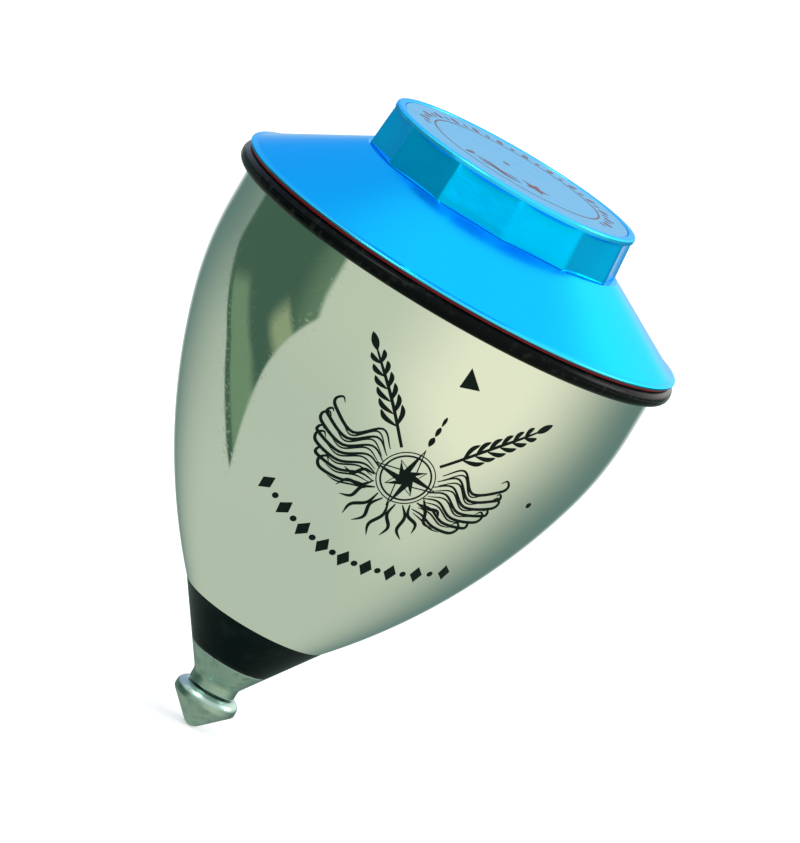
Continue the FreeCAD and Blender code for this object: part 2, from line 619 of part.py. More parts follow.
def join_shell(drawing, low_out, high_out, low_in, high_in, cap, base):
    """Tie the shell's curves and straight sides to each other and to the sheet."""
    for first, point, second, other in ((high_out, 2, cap[0], 1), (cap[0], 2, cap[1], 1),
                                        (cap[1], 2, cap[2], 1), (cap[2], 2, high_in, 2),
                                        (low_in, 1, base[0], 1), (base[0], 2, base[1], 1),
                                        (base[1], 2, base[2], 1), (base[2], 2, low_out, 1)):
        drawing.rule("Coincident", first, point, second, other)
    drawing.rule("Tangent", low_out, 2, high_out, 1)
    drawing.rule("Tangent", low_in, 2, high_in, 1)
    drawing.rule("Coincident", high_in, 3, high_out, 3)
    drawing.rule("Coincident", low_in, 3, low_out, 3)
    drawing.pin(high_out, 3, SHEET.belly_radius - SHEET.upper_bow, SHEET.belly_level)
    drawing.rule("Radius", high_out, size=SHEET.upper_bow)
    drawing.rule("Radius", high_in, size=SHEET.upper_bow - SHEET.shell_wall)
    drawing.rule("DistanceY", -1, 1, high_out, 1, size=SHEET.bow_joint)
    drawing.pin(base[2], 2, COLLAR_TOP_RADIUS, 0)
    for side in (cap[0], cap[2], base[1]):
        drawing.rule("Vertical", side)
    for side in (cap[1], base[0], base[2]):
        drawing.rule("Horizontal", side)
    drawing.rule("DistanceY", -1, 1, cap[0], 1, size=SHEET.belly_level)
    drawing.rule("DistanceY", -1, 1, cap[2], 2, size=SHEET.belly_level)
    drawing.rule("DistanceY", -1, 1, cap[1], 1, size=SHELL_HEIGHT)
    drawing.rule("DistanceY", -1, 1, base[0], 1, size=SHEET.floor_thickness)
    drawing.rule("DistanceX", -1, 1, base[1], 2, size=HOUSING_RADIUS)


def make_rings():
    """The rubber bumper ring on the shell's edge and the thin trim ring above it."""
    ring_radius = SHEET.belly_radius + SHEET.ring_overhang
    ring_round = (SHEET.ring_height - SHEET.ring_flat) / 2
    turned("bumper_ring", RING_LEVEL, [
        (RING_BORE, 0), (ring_radius, 0, ring_round),
        (ring_radius, SHEET.ring_height, ring_round), (RING_BORE, SHEET.ring_height)])
    trim_radius = SHEET.belly_radius + SHEET.trim_overhang
    turned("trim_ring", TRIM_LEVEL, ring_corners(RING_BORE, trim_radius, SHEET.trim_thickness))


def make_top_cover():
    """The cone-shaped cover, with a skirt inside the shell and a boss under its middle."""
    land = SHEET.lip_height + SHEET.cover_rise
    land_radius = CROWN_FOOT_RADIUS + SHEET.land_margin
    rim_radius = SHEET.belly_radius + SHEET.rim_overhang
    fall = SHEET.cover_rise / (rim_radius - land_radius)
    ceiling = land - SHEET.cover_wall
    skirt_bore = SKIRT_RADIUS - SHEET.skirt_wall
    inner_land = land_radius - SHEET.cover_wall / 2
    skirt_top = ceiling - (skirt_bore - inner_land) * fall
    body = turned("top_cover", COVER_LEVEL, [
        (SKIRT_RADIUS, 0), (rim_radius, 0, SHEET.lip_break),
        (rim_radius, SHEET.lip_height, SHEET.lip_break), (land_radius, land),
        (SCREW_HOLE, land), (SCREW_HOLE, ceiling - SHEET.boss_depth),
        (SHEET.boss_radius, ceiling - SHEET.boss_depth), (SHEET.boss_radius, ceiling),
        (inner_land, ceiling), (skirt_bore, skirt_top), (skirt_bore, -SHEET.skirt_depth),
        (SKIRT_RADIUS, -SHEET.skirt_depth)])
    drawing = Drawing(body, "XY_Plane", "peg_hole")
    drawing.circle(SHEET.peg_circle, 0, SHEET.peg_radius + SHEET.peg_gap)
    hole = cut(body, drawing)
    repeat_round(body, hole, SHEET.peg_count)
    turn_on_axis(body)


def turn_on_axis(body):
    """Turn a piece so that its facets, pegs or print keep step with the crown's."""
    body.setExpression(".Placement.Rotation.Angle", SHEET.facet_turn.text)


def make_grip_crown():
    """The faceted crown, recessed for its disc and drilled for its screw, with pegs below."""
    recess = SHEET.crown_height - SHEET.disc_thickness
    pocket = SHEET.spring_washer_radius + SHEET.pocket_gap
    side = SHEET.crown_height - SHEET.lip_thickness
    body = turned("grip_crown", CROWN_LEVEL, [
        (SCREW_HOLE, 0), (CROWN_FOOT_RADIUS, 0), (SHEET.crown_radius, side),
        (SHEET.crown_radius, SHEET.crown_height, SHEET.crown_top_round),
        (DISC_RECESS, SHEET.crown_height), (DISC_RECESS, recess), (pocket, recess),
        (pocket, SHEET.crown_floor), (SCREW_HOLE, SHEET.crown_floor)])
    cut_facets(body, side)
    add_pegs(body)
    turn_on_axis(body)


def cut_facets(body, side):
    """Slightly hollow facets from the crown's foot up to its lip, leaning in as its side does."""
    drawing = Drawing(body, "XY_Plane", "facet")
    away = CROWN_FOOT_RADIUS - SHEET.facet_depth + SHEET.facet_bow
    drawing.circle(0, -away, SHEET.facet_bow)
    facet = cut(body, drawing, depth=side, lean="atan(%s)" % (SHEET.crown_spread / side).text)
    repeat_round(body, facet, SHEET.facet_count)


def add_pegs(body):
    """Short pegs under the crown that drop into the cover's holes."""
    drawing = Drawing(body, "XY_Plane", "peg")
    drawing.circle(SHEET.peg_circle, 0, SHEET.peg_radius)
    peg = body.newObject("PartDesign::Pad", "peg_pad")
    peg.Profile = drawing.sketch
    peg.Reversed = True
    peg.setExpression("Length", SHEET.peg_length.text)
    body.Tip = peg
    doc.recompute()
    repeat_round(body, peg, SHEET.peg_count)


def make_crown_fixings():
    """The printed disc, the screw under it and the screw's washer."""
    disc_radius = DISC_RECESS - SHEET.disc_gap
    disc = turned("crown_disc", DISC_LEVEL, [
        (0, 0), (disc_radius, 0), (disc_radius, SHEET.disc_thickness),
        (0, SHEET.disc_thickness)])
    turn_on_axis(disc)
    plain_ring("crown_washer", CROWN_LEVEL + SHEET.crown_floor, SCREW_HOLE,
               SHEET.spring_washer_radius, SHEET.spring_washer_thickness)
    length = SHEET.screw_length
    body = turned("crown_screw", SCREW_LEVEL, [
        (0, -length), (SHEET.screw_radius - SHEET.edge_break, -length),
        (SHEET.screw_radius, SHEET.edge_break - length), (SHEET.screw_radius, 0),
        (SHEET.screw_head_radius, 0), (SHEET.screw_head_radius, SHEET.screw_head_height, SHEET.edge_break),
        (0, SHEET.screw_head_height)])
    drawing = Drawing(body, "XY_Plane", "hexagon_socket")
    drawing.sketch.setExpression(".AttachmentOffset.Base.z",
                                 (SHEET.screw_head_height - SHEET.key_depth).text)
    hexagon(drawing, SHEET.key_width)
    cut(body, drawing, depth=SHEET.key_depth)


def make_tie_tube():
    """The threaded tube from the bearing housing up to the cover's boss."""
    boss_foot = COVER_LEVEL + SHEET.lip_height + SHEET.cover_rise - SHEET.cover_wall - SHEET.boss_depth
    length = boss_foot - SHEET.clamp_gap - SOCKET_LEVEL
    turned("tie_tube", SOCKET_LEVEL, ring_corners(SHEET.screw_radius, SHEET.tube_radius, length))


def make_flywheel():
    """The spacer sleeve, the weighted wheel, and the washer and nut that clamp it."""
    bore = SHEET.tube_radius + SHEET.slip_fit
    turned("spacer_sleeve", SLEEVE_LEVEL, ring_corners(bore, bore + SHEET.sleeve_wall, SHEET.sleeve_length))
    web = SHEET.hub_height / 2 - SHEET.web_thickness / 2
    web_top = web + SHEET.web_thickness
    rim = SHEET.hub_height / 2 - SHEET.wheel_rim_height / 2
    rim_top = rim + SHEET.wheel_rim_height
    wheel_radius = SHEET.belly_radius - SHEET.shell_wall - SHEET.wheel_gap
    rim_bore = wheel_radius - SHEET.wheel_rim
    body = turned("flywheel", WHEEL_LEVEL, [
        (bore, 0), (SHEET.hub_radius, 0), (SHEET.hub_radius, web), (rim_bore, web), (rim_bore, rim),
        (wheel_radius, rim, SHEET.edge_break), (wheel_radius, rim_top, SHEET.edge_break),
        (rim_bore, rim_top), (rim_bore, web_top), (SHEET.hub_radius, web_top),
        (SHEET.hub_radius, SHEET.hub_height), (bore, SHEET.hub_height)])
    drawing = Drawing(body, "XY_Plane", "light_hole")
    drawing.circle(SHEET.light_hole_circle, 0, SHEET.light_hole_radius)
    hole = cut(body, drawing)
    repeat_round(body, hole, SHEET.light_hole_count)
    washer_level = WHEEL_LEVEL + SHEET.hub_height
    plain_ring("flywheel_washer", washer_level, bore, SHEET.plain_washer_radius,
               SHEET.plain_washer_thickness)
    make_nut(washer_level + SHEET.plain_washer_thickness)


def make_nut(seat):
    body = new_body("flywheel_nut", seat)
    drawing = Drawing(body, "XY_Plane", "nut_outline")
    hexagon(drawing, SHEET.nut_width)
    drawing.circle(0, 0, SHEET.tube_radius)
    pad = body.newObject("PartDesign::Pad", "nut_pad")
    pad.Profile = drawing.sketch
    pad.setExpression("Length", SHEET.nut_height.text)
    body.Tip = pad


NODES = (
    "tip_head", "tip_cone", "tip_collar", "bearing_inner_race", "bearing_outer_race", "bearing_cage",
    "bearing_balls", "bearing_shields", "stem_washer", "stem_clip", "bearing_housing", "body_shell",
    "bumper_ring", "trim_ring", "top_cover", "grip_crown", "crown_disc", "crown_washer", "crown_screw",
    "tie_tube", "spacer_sleeve", "flywheel", "flywheel_washer", "flywheel_nut",
)


def check_document():
    """Stop if any object failed or any node is missing or not a sound solid."""
    for item in doc.Objects:
        if "Invalid" in item.State or "Error" in item.State:
            raise RuntimeError("%s failed: %s" % (item.Label, item.State))
    for name in NODES:
        shape = doc.getObject(name).Shape
        if shape.isNull() or not shape.isValid() or not shape.Solids:
            raise RuntimeError(name + " is not a sound solid")


def write_parts():
    os.makedirs("parts", exist_ok=True)
    for name in NODES:
        node = doc.getObject(name)
        node.Shape.exportStep("parts/%s.step" % node.Label)
        print("%-20s %2d solid(s) %9.1f mm3" % (name, len(node.Shape.Solids), node.Shape.Volume))


make_tip_head()
make_tip_cone()
make_tip_collar()
make_bearing()
make_stem_fixings()
make_bearing_housing()
make_body_shell()
make_rings()
make_top_cover()
make_grip_crown()
make_crown_fixings()
make_tie_tube()
make_flywheel()
doc.recompute()
check_document()
write_parts()
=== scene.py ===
# %% [markdown]
# # A throwing top, dressed for the studio
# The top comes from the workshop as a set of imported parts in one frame: Z is the spin axis, the point
# of the tip stands on the ground at the origin, and every length is in metres. This lesson gives those
# parts their finish. The pieces that show are spun again as finer meshes in the same places, because
# polished metal shows every flat in a coarse mesh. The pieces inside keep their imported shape.

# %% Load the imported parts
import math
import bmesh
import bpy
from mathutils import Euler, Matrix, Vector


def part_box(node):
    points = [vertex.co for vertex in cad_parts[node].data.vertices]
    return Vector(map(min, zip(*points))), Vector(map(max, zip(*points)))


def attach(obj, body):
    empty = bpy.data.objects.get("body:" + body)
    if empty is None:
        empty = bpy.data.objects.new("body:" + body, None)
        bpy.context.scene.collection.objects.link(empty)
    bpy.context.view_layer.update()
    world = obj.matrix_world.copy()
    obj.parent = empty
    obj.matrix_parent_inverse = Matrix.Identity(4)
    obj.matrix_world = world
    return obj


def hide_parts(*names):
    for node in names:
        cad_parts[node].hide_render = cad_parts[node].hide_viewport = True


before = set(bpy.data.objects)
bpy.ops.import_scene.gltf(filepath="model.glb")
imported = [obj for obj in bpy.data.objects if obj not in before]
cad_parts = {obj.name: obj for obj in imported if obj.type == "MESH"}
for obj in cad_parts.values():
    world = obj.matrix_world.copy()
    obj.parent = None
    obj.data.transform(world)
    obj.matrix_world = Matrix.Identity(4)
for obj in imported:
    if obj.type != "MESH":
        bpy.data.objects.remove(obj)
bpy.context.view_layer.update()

MM = 0.001

# %% [markdown]
# ## The camera
# A long lens from the front and a little above keeps the ellipses of the rings shallow. The camera is
# rolled, so that the upright top leans to the right in the picture. It could be the top that leans, but
# then its axis would no longer be the frame's Z axis, so the camera does the leaning.

# %% Set up the camera
LOOK_DOWN = math.radians(10.7)
ROLL = math.radians(30.6)
DISTANCE = 0.7443
AIM = Vector((0.0034, -0.0040, 0.0480))
LENS = 256.2

camera = bpy.data.objects.new("camera", bpy.data.cameras.new("camera"))
camera.data.lens = LENS
camera.data.sensor_width = 36
bpy.context.scene.collection.objects.link(camera)
bpy.context.scene.camera = camera
turn = Euler((math.pi / 2 - LOOK_DOWN, 0, 0)).to_matrix() @ Matrix.Rotation(ROLL, 3, "Z")
camera.matrix_world = Matrix.Translation(AIM + turn @ Vector((0, 0, DISTANCE))) @ turn.to_4x4()
bpy.context.scene.view_settings.view_transform = "Standard"
print("camera stands at", [round(value, 3) for value in camera.matrix_world.translation])

# %% [markdown]
# ## Writing shaders as sums
# A finish is a small calculation over the surface: a mask here, a little more roughness there. Nodes
# can be wired by hand in the editor, but a sum reads better as a sum. `Wire` wraps a socket, and its
# operators add the Math nodes. `Shader` adds any other node: its settings first, then its sockets.

# %% A wire that can be added and multiplied
class Wire:
    def __init__(self, shader, socket):
        self.shader, self.socket = shader, socket

    def math(self, operation, *values):
        return self.shader.add("ShaderNodeMath", {"operation": operation}, dict(enumerate(values)))

    def __add__(self, other):
        return self.math("ADD", self, other)

    def __radd__(self, other):
        return self.math("ADD", other, self)

    def __sub__(self, other):
        return self.math("SUBTRACT", self, other)

    def __rsub__(self, other):
        return self.math("SUBTRACT", other, self)

    def __mul__(self, other):
        return self.math("MULTIPLY", self, other)

    def __rmul__(self, other):
        return self.math("MULTIPLY", other, self)

    def out(self, name):
        """Another output of the same node."""
        return Wire(self.shader, self.socket.node.outputs[name])

    def step(self, off, on):
        """0 at off, 1 at on and smooth between them; off may be the larger one."""
        return self.shader.add("ShaderNodeMapRange", {"interpolation_type": "SMOOTHSTEP"},
                               {"Value": self, "From Min": off, "From Max": on})


class Shader:
    def __init__(self, tree):
        self.tree = tree
        tree.nodes.clear()

    def add(self, kind, settings=None, sockets=None, out=0):
        node = self.tree.nodes.new(kind)
        for name, value in (settings or {}).items():
            setattr(node, name, value)
        for name, value in (sockets or {}).items():
            if isinstance(value, Wire):
                self.tree.links.new(value.socket, node.inputs[name])
            else:
                node.inputs[name].default_value = value
        return Wire(self, node.outputs[out]) if len(node.outputs) else node

    def place(self):
        """The point on the piece, in the frame's metres."""
        return self.add("ShaderNodeTexCoord", out="Object")

    def axes(self, vector):
        x = self.add("ShaderNodeSeparateXYZ", sockets={0: vector})
        return x, x.out("Y"), x.out("Z")

    def stretch(self, vector, scale, turn=(0, 0, 0)):
        """The same points scaled along each axis, after a turn."""
        return self.add("ShaderNodeMapping",
                        sockets={"Vector": vector, "Rotation": turn, "Scale": scale})

    def noise(self, vector, scale=1.0, detail=2.0):
        return self.add("ShaderNodeTexNoise",
                        sockets={"Vector": vector, "Scale": scale, "Detail": detail})

    def mix(self, mask, first, second):
        """Colour first where the mask is 0, second where it is 1."""
        first, second = [value if isinstance(value, Wire) else (*value, 1) for value in (first, second)]
        return self.add("ShaderNodeMix", {"data_type": "RGBA"}, {0: mask, 6: first, 7: second}, out=2)

    def bump(self, height, distance):
        return self.add("ShaderNodeBump", sockets={"Height": height, "Distance": distance})

    def scratches(self, place, angle, gap):
        """Thin lines, a few millimetres long and about gap apart, running one way."""
        along = self.stretch(place, (60, 1 / gap, 1 / gap), (angle, angle * 0.7, angle * 1.9))
        return self.noise(along, 1.0, 1.0).step(0.66, 0.72)


def finish(name, build, **steady):
    """A material: build(shader) gives the inputs that change over it, steady the ones that don't."""
    material = bpy.data.materials.new(name)
    material.use_nodes = True
    shader = Shader(material.node_tree)
    sockets = {key.replace("_", " "): value for key, value in {**steady, **build(shader)}.items()}
    surface = shader.add("ShaderNodeBsdfPrincipled", sockets=sockets)
    shader.add("ShaderNodeOutputMaterial", sockets={"Surface": surface})
    print("finish:", name)
    return material


print("shader tools are ready")

# %% [markdown]
# ## The studio
# The top stands on a plain pale floor inside a soft light tent. Polished metal is only as good as what
# it mirrors, so the tent has a bright front, dimmer sides and one dark doorway on the left, which draws
# the dark shape on the shell. Two slanting jambs cut the doorway out, and a pale curtain and a lit
# corner stand in it. A place in the tent is a direction seen from the top, with y at -1 in front, x at
# -1 on the left and z at 1 overhead. The floor is left out of the mirror images, so the metal sees the
# tent's own lower half, as it would on a small stand. A white dome behind everything is there for the
# camera alone.

# %% Light the tent
FRONT_LEFT = (0.58, 0.64, 0.52)
FRONT_RIGHT = (0.90, 0.90, 0.71)
SIDES = (0.135, 0.225, 0.20)
BEHIND = (0.80, 0.88, 0.86)
BELOW = (0.52, 0.59, 0.49)
DOOR_DARK = (0.060, 0.125, 0.086)
DOOR_PALE = (0.17, 0.28, 0.17)
DOOR_LIT = (0.29, 0.37, 0.22)
ROOF = (1.15, 1.15, 1.15)
ROOF_LEFT = (0.62, 0.70, 0.95)
ROOF_RIGHT = (1.8, 1.7, 1.6)

world = bpy.data.worlds.new("tent")
world.use_nodes = True
bpy.context.scene.world = world
tent = Shader(world.node_tree)
x, y, z = tent.axes(tent.add("ShaderNodeTexCoord", out="Generated"))
walls = tent.mix(y.step(0.9, -0.6), SIDES, tent.mix(x.step(-0.4, 0.6), FRONT_LEFT, FRONT_RIGHT))
walls = tent.mix(y.step(0.90, 1.0), walls, BEHIND)
walls = tent.mix((z + 0.2 * x).step(-0.25, -0.90), walls, BELOW)

left_jamb = z - 1.07 * y
right_jamb = z + 0.75 * y
door = (left_jamb.step(-0.765, -0.745) * right_jamb.step(-0.795, -0.765) * y.step(0.53, 0.47)
        * y.step(-0.66, -0.61) * x.step(-0.2, -0.4) * z.step(0.20, 0.08))
doorway = tent.mix(left_jamb.step(-0.40, -0.50) * z.step(-0.27, -0.34), DOOR_DARK, DOOR_PALE)
doorway = tent.mix(left_jamb.step(-0.68, -0.71), doorway, DOOR_DARK)
doorway = tent.mix(y.step(-0.35, -0.62) * 0.6, doorway, DOOR_PALE)
lit_corner = left_jamb.step(-0.25, -0.10) * left_jamb.step(0.12, 0.04) * right_jamb.step(-0.50, -0.66)
doorway = tent.mix(lit_corner, doorway, DOOR_LIT)
walls = tent.mix(door, walls, doorway)
roof = tent.mix(y.step(0.0, 0.3) * x.step(0.1, -0.2) * z.step(0.95, 0.7), ROOF, ROOF_LEFT)
roof = tent.mix(y.step(0.2, 0.6) * x.step(0.0, 0.35) * z.step(0.85, 0.6), roof, ROOF_RIGHT)
light = tent.mix(z.step(-0.02, 0.12) * (1 - door), walls, roof)
tent.add("ShaderNodeOutputWorld", sockets={
    "Surface": tent.add("ShaderNodeBackground", sockets={"Color": light, "Strength": 1.0})})


def soft_box(name, place, size, power):
    """A square lamp that faces the middle of the top."""
    lamp = bpy.data.objects.new(name, bpy.data.lights.new(name, "AREA"))
    lamp.data.size = size
    lamp.data.energy = power
    lamp.location = place
    lamp.rotation_euler = (Vector(place) - Vector((0, 0, 0.05))).to_track_quat("Z", "Y").to_euler()
    bpy.context.scene.collection.objects.link(lamp)


soft_box("key_light", (-0.55, -0.75, 0.85), 0.45, 5.0)
soft_box("side_light", (0.95, 0.15, 0.55), 0.5, 5.0)

FLOOR_SIZE = 12.0
DOME_RADIUS = 4.0
floor_mesh = bpy.data.meshes.new("floor")
corners = [(a * FLOOR_SIZE / 2, b * FLOOR_SIZE / 2, 0) for a, b in ((-1, -1), (1, -1), (1, 1), (-1, 1))]
floor_mesh.from_pydata(corners, [], [(0, 1, 2, 3)])
floor = bpy.data.objects.new("floor", floor_mesh)
bpy.context.scene.collection.objects.link(floor)
floor.visible_glossy = False
floor_mesh.materials.append(finish(
    "pale_floor", lambda s: {"Roughness": 0.8 + 0.1 * s.noise(s.place(), 40.0)},
    Base_Color=(0.82, 0.82, 0.82, 1), Emission_Color=(1, 1, 1, 1), Emission_Strength=0.22))

dome_shape = bmesh.new()
bmesh.ops.create_icosphere(dome_shape, subdivisions=4, radius=DOME_RADIUS)
dome_mesh = bpy.data.meshes.new("backdrop")
dome_shape.to_mesh(dome_mesh)
dome_shape.free()
backdrop = bpy.data.objects.new("backdrop", dome_mesh)
bpy.context.scene.collection.objects.link(backdrop)
backdrop.visible_glossy = backdrop.visible_diffuse = backdrop.visible_transmission = False
backdrop.visible_shadow = False
dome_mesh.materials.append(finish(
    "pale_backdrop", lambda s: {"Roughness": 0.8 + 0.1 * s.noise(s.place(), 2.0)},
    Base_Color=(0.8, 0.8, 0.8, 1), Emission_Color=(1, 1, 1, 1), Emission_Strength=1.0))
print("floor, backdrop and tent are up")

# %% [markdown]
# ## Turning a piece
# Nearly everything here was made on a lathe, so nearly everything is one outline spun about the axis.
# The outline is a closed loop of corners, each a radius and a height in millimetres, with a rounding
# where the tool or the polish has eased the edge. Blender's Screw modifier could do the spinning, but
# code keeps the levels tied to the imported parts. Weighted normals keep the flats flat beside an edge.

# %% Spin an outline
STEPS_ROUND = 288
SHARP = math.radians(32)


def span(node):
    """Lowest level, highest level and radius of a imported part, in millimetres."""
    low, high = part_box(node)
    return low.z / MM, high.z / MM, high.x / MM


def soften(corners, steps=6):
    """The outline through the corners, with an arc where a corner has a rounding."""
    outline = []
    for i, corner in enumerate(corners):
        here = Vector(corner[:2])
        if len(corner) == 2:
            outline.append(here)
            continue
        back = (Vector(corners[i - 1][:2]) - here).normalized()
        ahead = (Vector(corners[(i + 1) % len(corners)][:2]) - here).normalized()
        half = back.angle(ahead) / 2
        centre = here + (back + ahead).normalized() * (corner[2] / math.sin(half))
        first, last = [here + side * (corner[2] / math.tan(half)) - centre for side in (back, ahead)]
        start = math.atan2(first.y, first.x)
        sweep = (math.atan2(last.y, last.x) - start + math.pi) % (2 * math.pi) - math.pi
        for k in range(steps + 1):
            angle = start + sweep * k / steps
            outline.append(centre + corner[2] * Vector((math.cos(angle), math.sin(angle))))
    return outline


def add_piece(name, mesh, material, stands_for=(), body="top"):
    """Give a finished bmesh its object, smooth shading, material and place in the frame."""
    bmesh.ops.recalc_face_normals(mesh, faces=mesh.faces)
    data = bpy.data.meshes.new(name)
    mesh.to_mesh(data)
    mesh.free()
    data.polygons.foreach_set("use_smooth", [True] * len(data.polygons))
    data.set_sharp_from_angle(angle=SHARP)
    piece = bpy.data.objects.new(name, data)
    bpy.context.scene.collection.objects.link(piece)
    piece.modifiers.new("flat_faces", "WEIGHTED_NORMAL").keep_sharp = True
    data.materials.append(material)
    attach(piece, body)
    if stands_for:
        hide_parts(*stands_for)
    print("%-14s %6d faces" % (name, len(data.polygons)))


def spin(outline, steps=STEPS_ROUND, radius_at=None):
    """A closed skin from an outline turned about the axis; a radius of 0 closes it to a point."""
    mesh = bmesh.new()
    rings = []
    for radius, height in outline:
        if radius == 0:
            rings.append([mesh.verts.new((0, 0, height * MM))])
            continue
        ring = []
        for k in range(steps):
            angle = 2 * math.pi * k / steps
            out = radius if radius_at is None else radius_at(math.degrees(angle), radius, height)
            ring.append(mesh.verts.new(
                (out * MM * math.sin(angle), -out * MM * math.cos(angle), height * MM)))
        rings.append(ring)
    for lower, upper in zip(rings, rings[1:] + rings[:1]):
        for k in range(steps):
            after = (k + 1) % steps
            if len(lower) > 1 and len(upper) > 1:
                mesh.faces.new((lower[k], lower[after], upper[after], upper[k]))
            elif len(lower) > 1:
                mesh.faces.new((lower[k], lower[after], upper[0]))
            elif len(upper) > 1:
                mesh.faces.new((lower[0], upper[after], upper[k]))
    return mesh


print("the lathe turns with", STEPS_ROUND, "steps")

# %% [markdown]
# ## The mirror shell
# The body is spun from aluminium sheet and polished until it mirrors the room. Its outline is two
# arcs that meet smoothly and a short upright band at the top, where the rubber ring grips. Polish is
# never perfect: the finish has a slow ripple left by the wheel, hairline scratches that run with it,
# and faint smudges from fingers, which only change the roughness.

# %% Polished aluminium
def polished(s):
    place = s.place()
    smudge = s.noise(place, 130.0, 4.0).step(0.48, 0.72)
    hairline = s.scratches(place, 0.0, 0.0004) + s.scratches(place, 1.1, 0.0003)
    ripple = s.noise(s.stretch(place, (30, 30, 75)), 1.0, 1.0)
    return {
        "Base_Color": s.mix(s.noise(place, 55.0), (0.80, 0.85, 0.79), (0.86, 0.90, 0.83)),
        "Roughness": 0.045 + 0.05 * smudge + 0.10 * hairline,
        "Normal": s.bump(ripple - 0.012 * hairline, 0.00010),
    }


mirror_metal = finish("mirror_metal", polished, Metallic=1.0)

# %% Spin the shell
SHELL_BELLY_LIFT = 44.16
SHELL_UPPER_BOW = 44.64
SHELL_JOINT_LIFT = 32.29
SHELL_WALL = 1.4
SHELL_FLOOR = 1.5
SHELL_HOLE = 5.5
SHELL_FOOT_EASE = 0.25
shell_foot, shell_top, belly = span("body_shell")
foot_radius = span("tip_collar")[2]

bow_centre = Vector((belly - SHELL_UPPER_BOW, SHELL_BELLY_LIFT))
joint_drop = SHELL_BELLY_LIFT - SHELL_JOINT_LIFT
joint = bow_centre + Vector((math.sqrt(SHELL_UPPER_BOW ** 2 - joint_drop ** 2), -joint_drop))
outward = (joint - bow_centre).normalized()
chord = Vector((foot_radius, 0)) - joint
lower_bow = -chord.dot(chord) / (2 * outward.dot(chord))
lower_centre = joint - outward * lower_bow


def shell_side(lift, inset=0.0):
    """Radius of the shell at a height above its foot, and how its surface leans there."""
    if lift >= SHELL_BELLY_LIFT:
        return belly - inset, Vector((1, 0))
    upper, lower = (SHELL_UPPER_BOW, bow_centre), (lower_bow, lower_centre)
    bow, centre = upper if lift >= SHELL_JOINT_LIFT else lower
    rise = lift - centre.y
    across = math.sqrt((bow - inset) ** 2 - rise ** 2)
    return centre.x + across, Vector((across, rise)).normalized()


LIFT_STEPS = 72
shell_height = shell_top - shell_foot
lifts = [SHELL_FOOT_EASE + (shell_height - SHELL_FOOT_EASE) * k / LIFT_STEPS
         for k in range(LIFT_STEPS + 1)]
outside = [Vector((shell_side(lift)[0], shell_foot + lift)) for lift in lifts]
inside = [Vector((shell_side(lift, SHELL_WALL)[0], shell_foot + lift))
          for lift in reversed(lifts) if lift > SHELL_FLOOR]
foot_edge = soften([(foot_radius - 2 * SHELL_FOOT_EASE, shell_foot),
                    (foot_radius, shell_foot, SHELL_FOOT_EASE / 2), tuple(outside[0])])[:-1]
floor_level = shell_foot + SHELL_FLOOR
floor_corners = [Vector((inside[-1].x, floor_level)), Vector((SHELL_HOLE, floor_level)),
                 Vector((SHELL_HOLE, shell_foot))]
add_piece("mirror_shell", spin(foot_edge + outside + inside + floor_corners), mirror_metal,
          ["body_shell"])
print("shell: %.1f mm across, %.1f mm tall" % (2 * belly, shell_height))

# %% [markdown]
# ## Rubber ring and red line
# The ring takes the knocks when the top is thrown. It is moulded rubber: black, a little glossy from
# handling, with a fine grain, dull dusty patches and a hair of a mould line round its middle. Under
# the cover a thin dark red plastic ring shows as a line.

# %% Moulded rubber and red plastic
ring_low, ring_high, ring_radius = span("bumper_ring")
ring_middle = (ring_low + ring_high) / 2 * MM


def moulded(s):
    place = s.place()
    off_middle = s.axes(place)[2] - ring_middle
    dust = s.noise(place, 900.0, 3.0).step(0.52, 0.75)
    seam = off_middle.math("ABSOLUTE", off_middle).step(0.00008, 0.0)
    grain = s.noise(place, 9000.0, 2.0)
    return {
        "Base_Color": s.mix(dust, (0.0005, 0.0015, 0.0015), (0.006, 0.009, 0.008)),
        "Roughness": 0.16 + 0.14 * dust + 0.06 * grain,
        "Normal": s.bump(grain + 1.5 * seam, 0.000012),
    }


def red_plastic(s):
    cloud = s.noise(s.place(), 700.0, 3.0)
    return {
        "Base_Color": s.mix(cloud, (0.075, 0.001, 0.004), (0.14, 0.004, 0.008)),
        "Roughness": 0.20 + 0.15 * cloud,
        "Normal": s.bump(cloud, 0.00001),
    }


black_rubber = finish("black_rubber", moulded, Specular_IOR_Level=0.06)
red_trim = finish("red_trim", red_plastic, Specular_IOR_Level=0.2)

# %% Spin the two rings
RING_BORE = 27.38
RING_ROUND = 1.0
RING_EASE = 0.2
TRIM_EASE = 0.1
add_piece("rubber_ring", spin(soften([
    (RING_BORE, ring_low, RING_EASE), (ring_radius, ring_low, RING_ROUND),
    (ring_radius, ring_high, RING_ROUND), (RING_BORE, ring_high, RING_EASE)], steps=12)),
    black_rubber, ["bumper_ring"])
trim_low, trim_high, trim_radius = span("trim_ring")
add_piece("red_line", spin(soften([
    (RING_BORE, trim_low), (trim_radius, trim_low, TRIM_EASE), (trim_radius, trim_high, TRIM_EASE),
    (RING_BORE, trim_high)])), red_trim, ["trim_ring"])

# %% [markdown]
# ## The blue cover
# The cover is a shallow cone of anodised aluminium with a satin skin. Anodising takes the colour into
# the metal, so it is metallic blue, not paint: the base colour is the colour of its reflections. A fine
# grain from the blasting spreads them, and a paler blue band along the lip is a painted highlight.

# %% Anodised aluminium
cover_low, cover_top, rim_radius = span("top_cover")
COVER_LIP = 0.3
lip_level = (trim_high + COVER_LIP) * MM


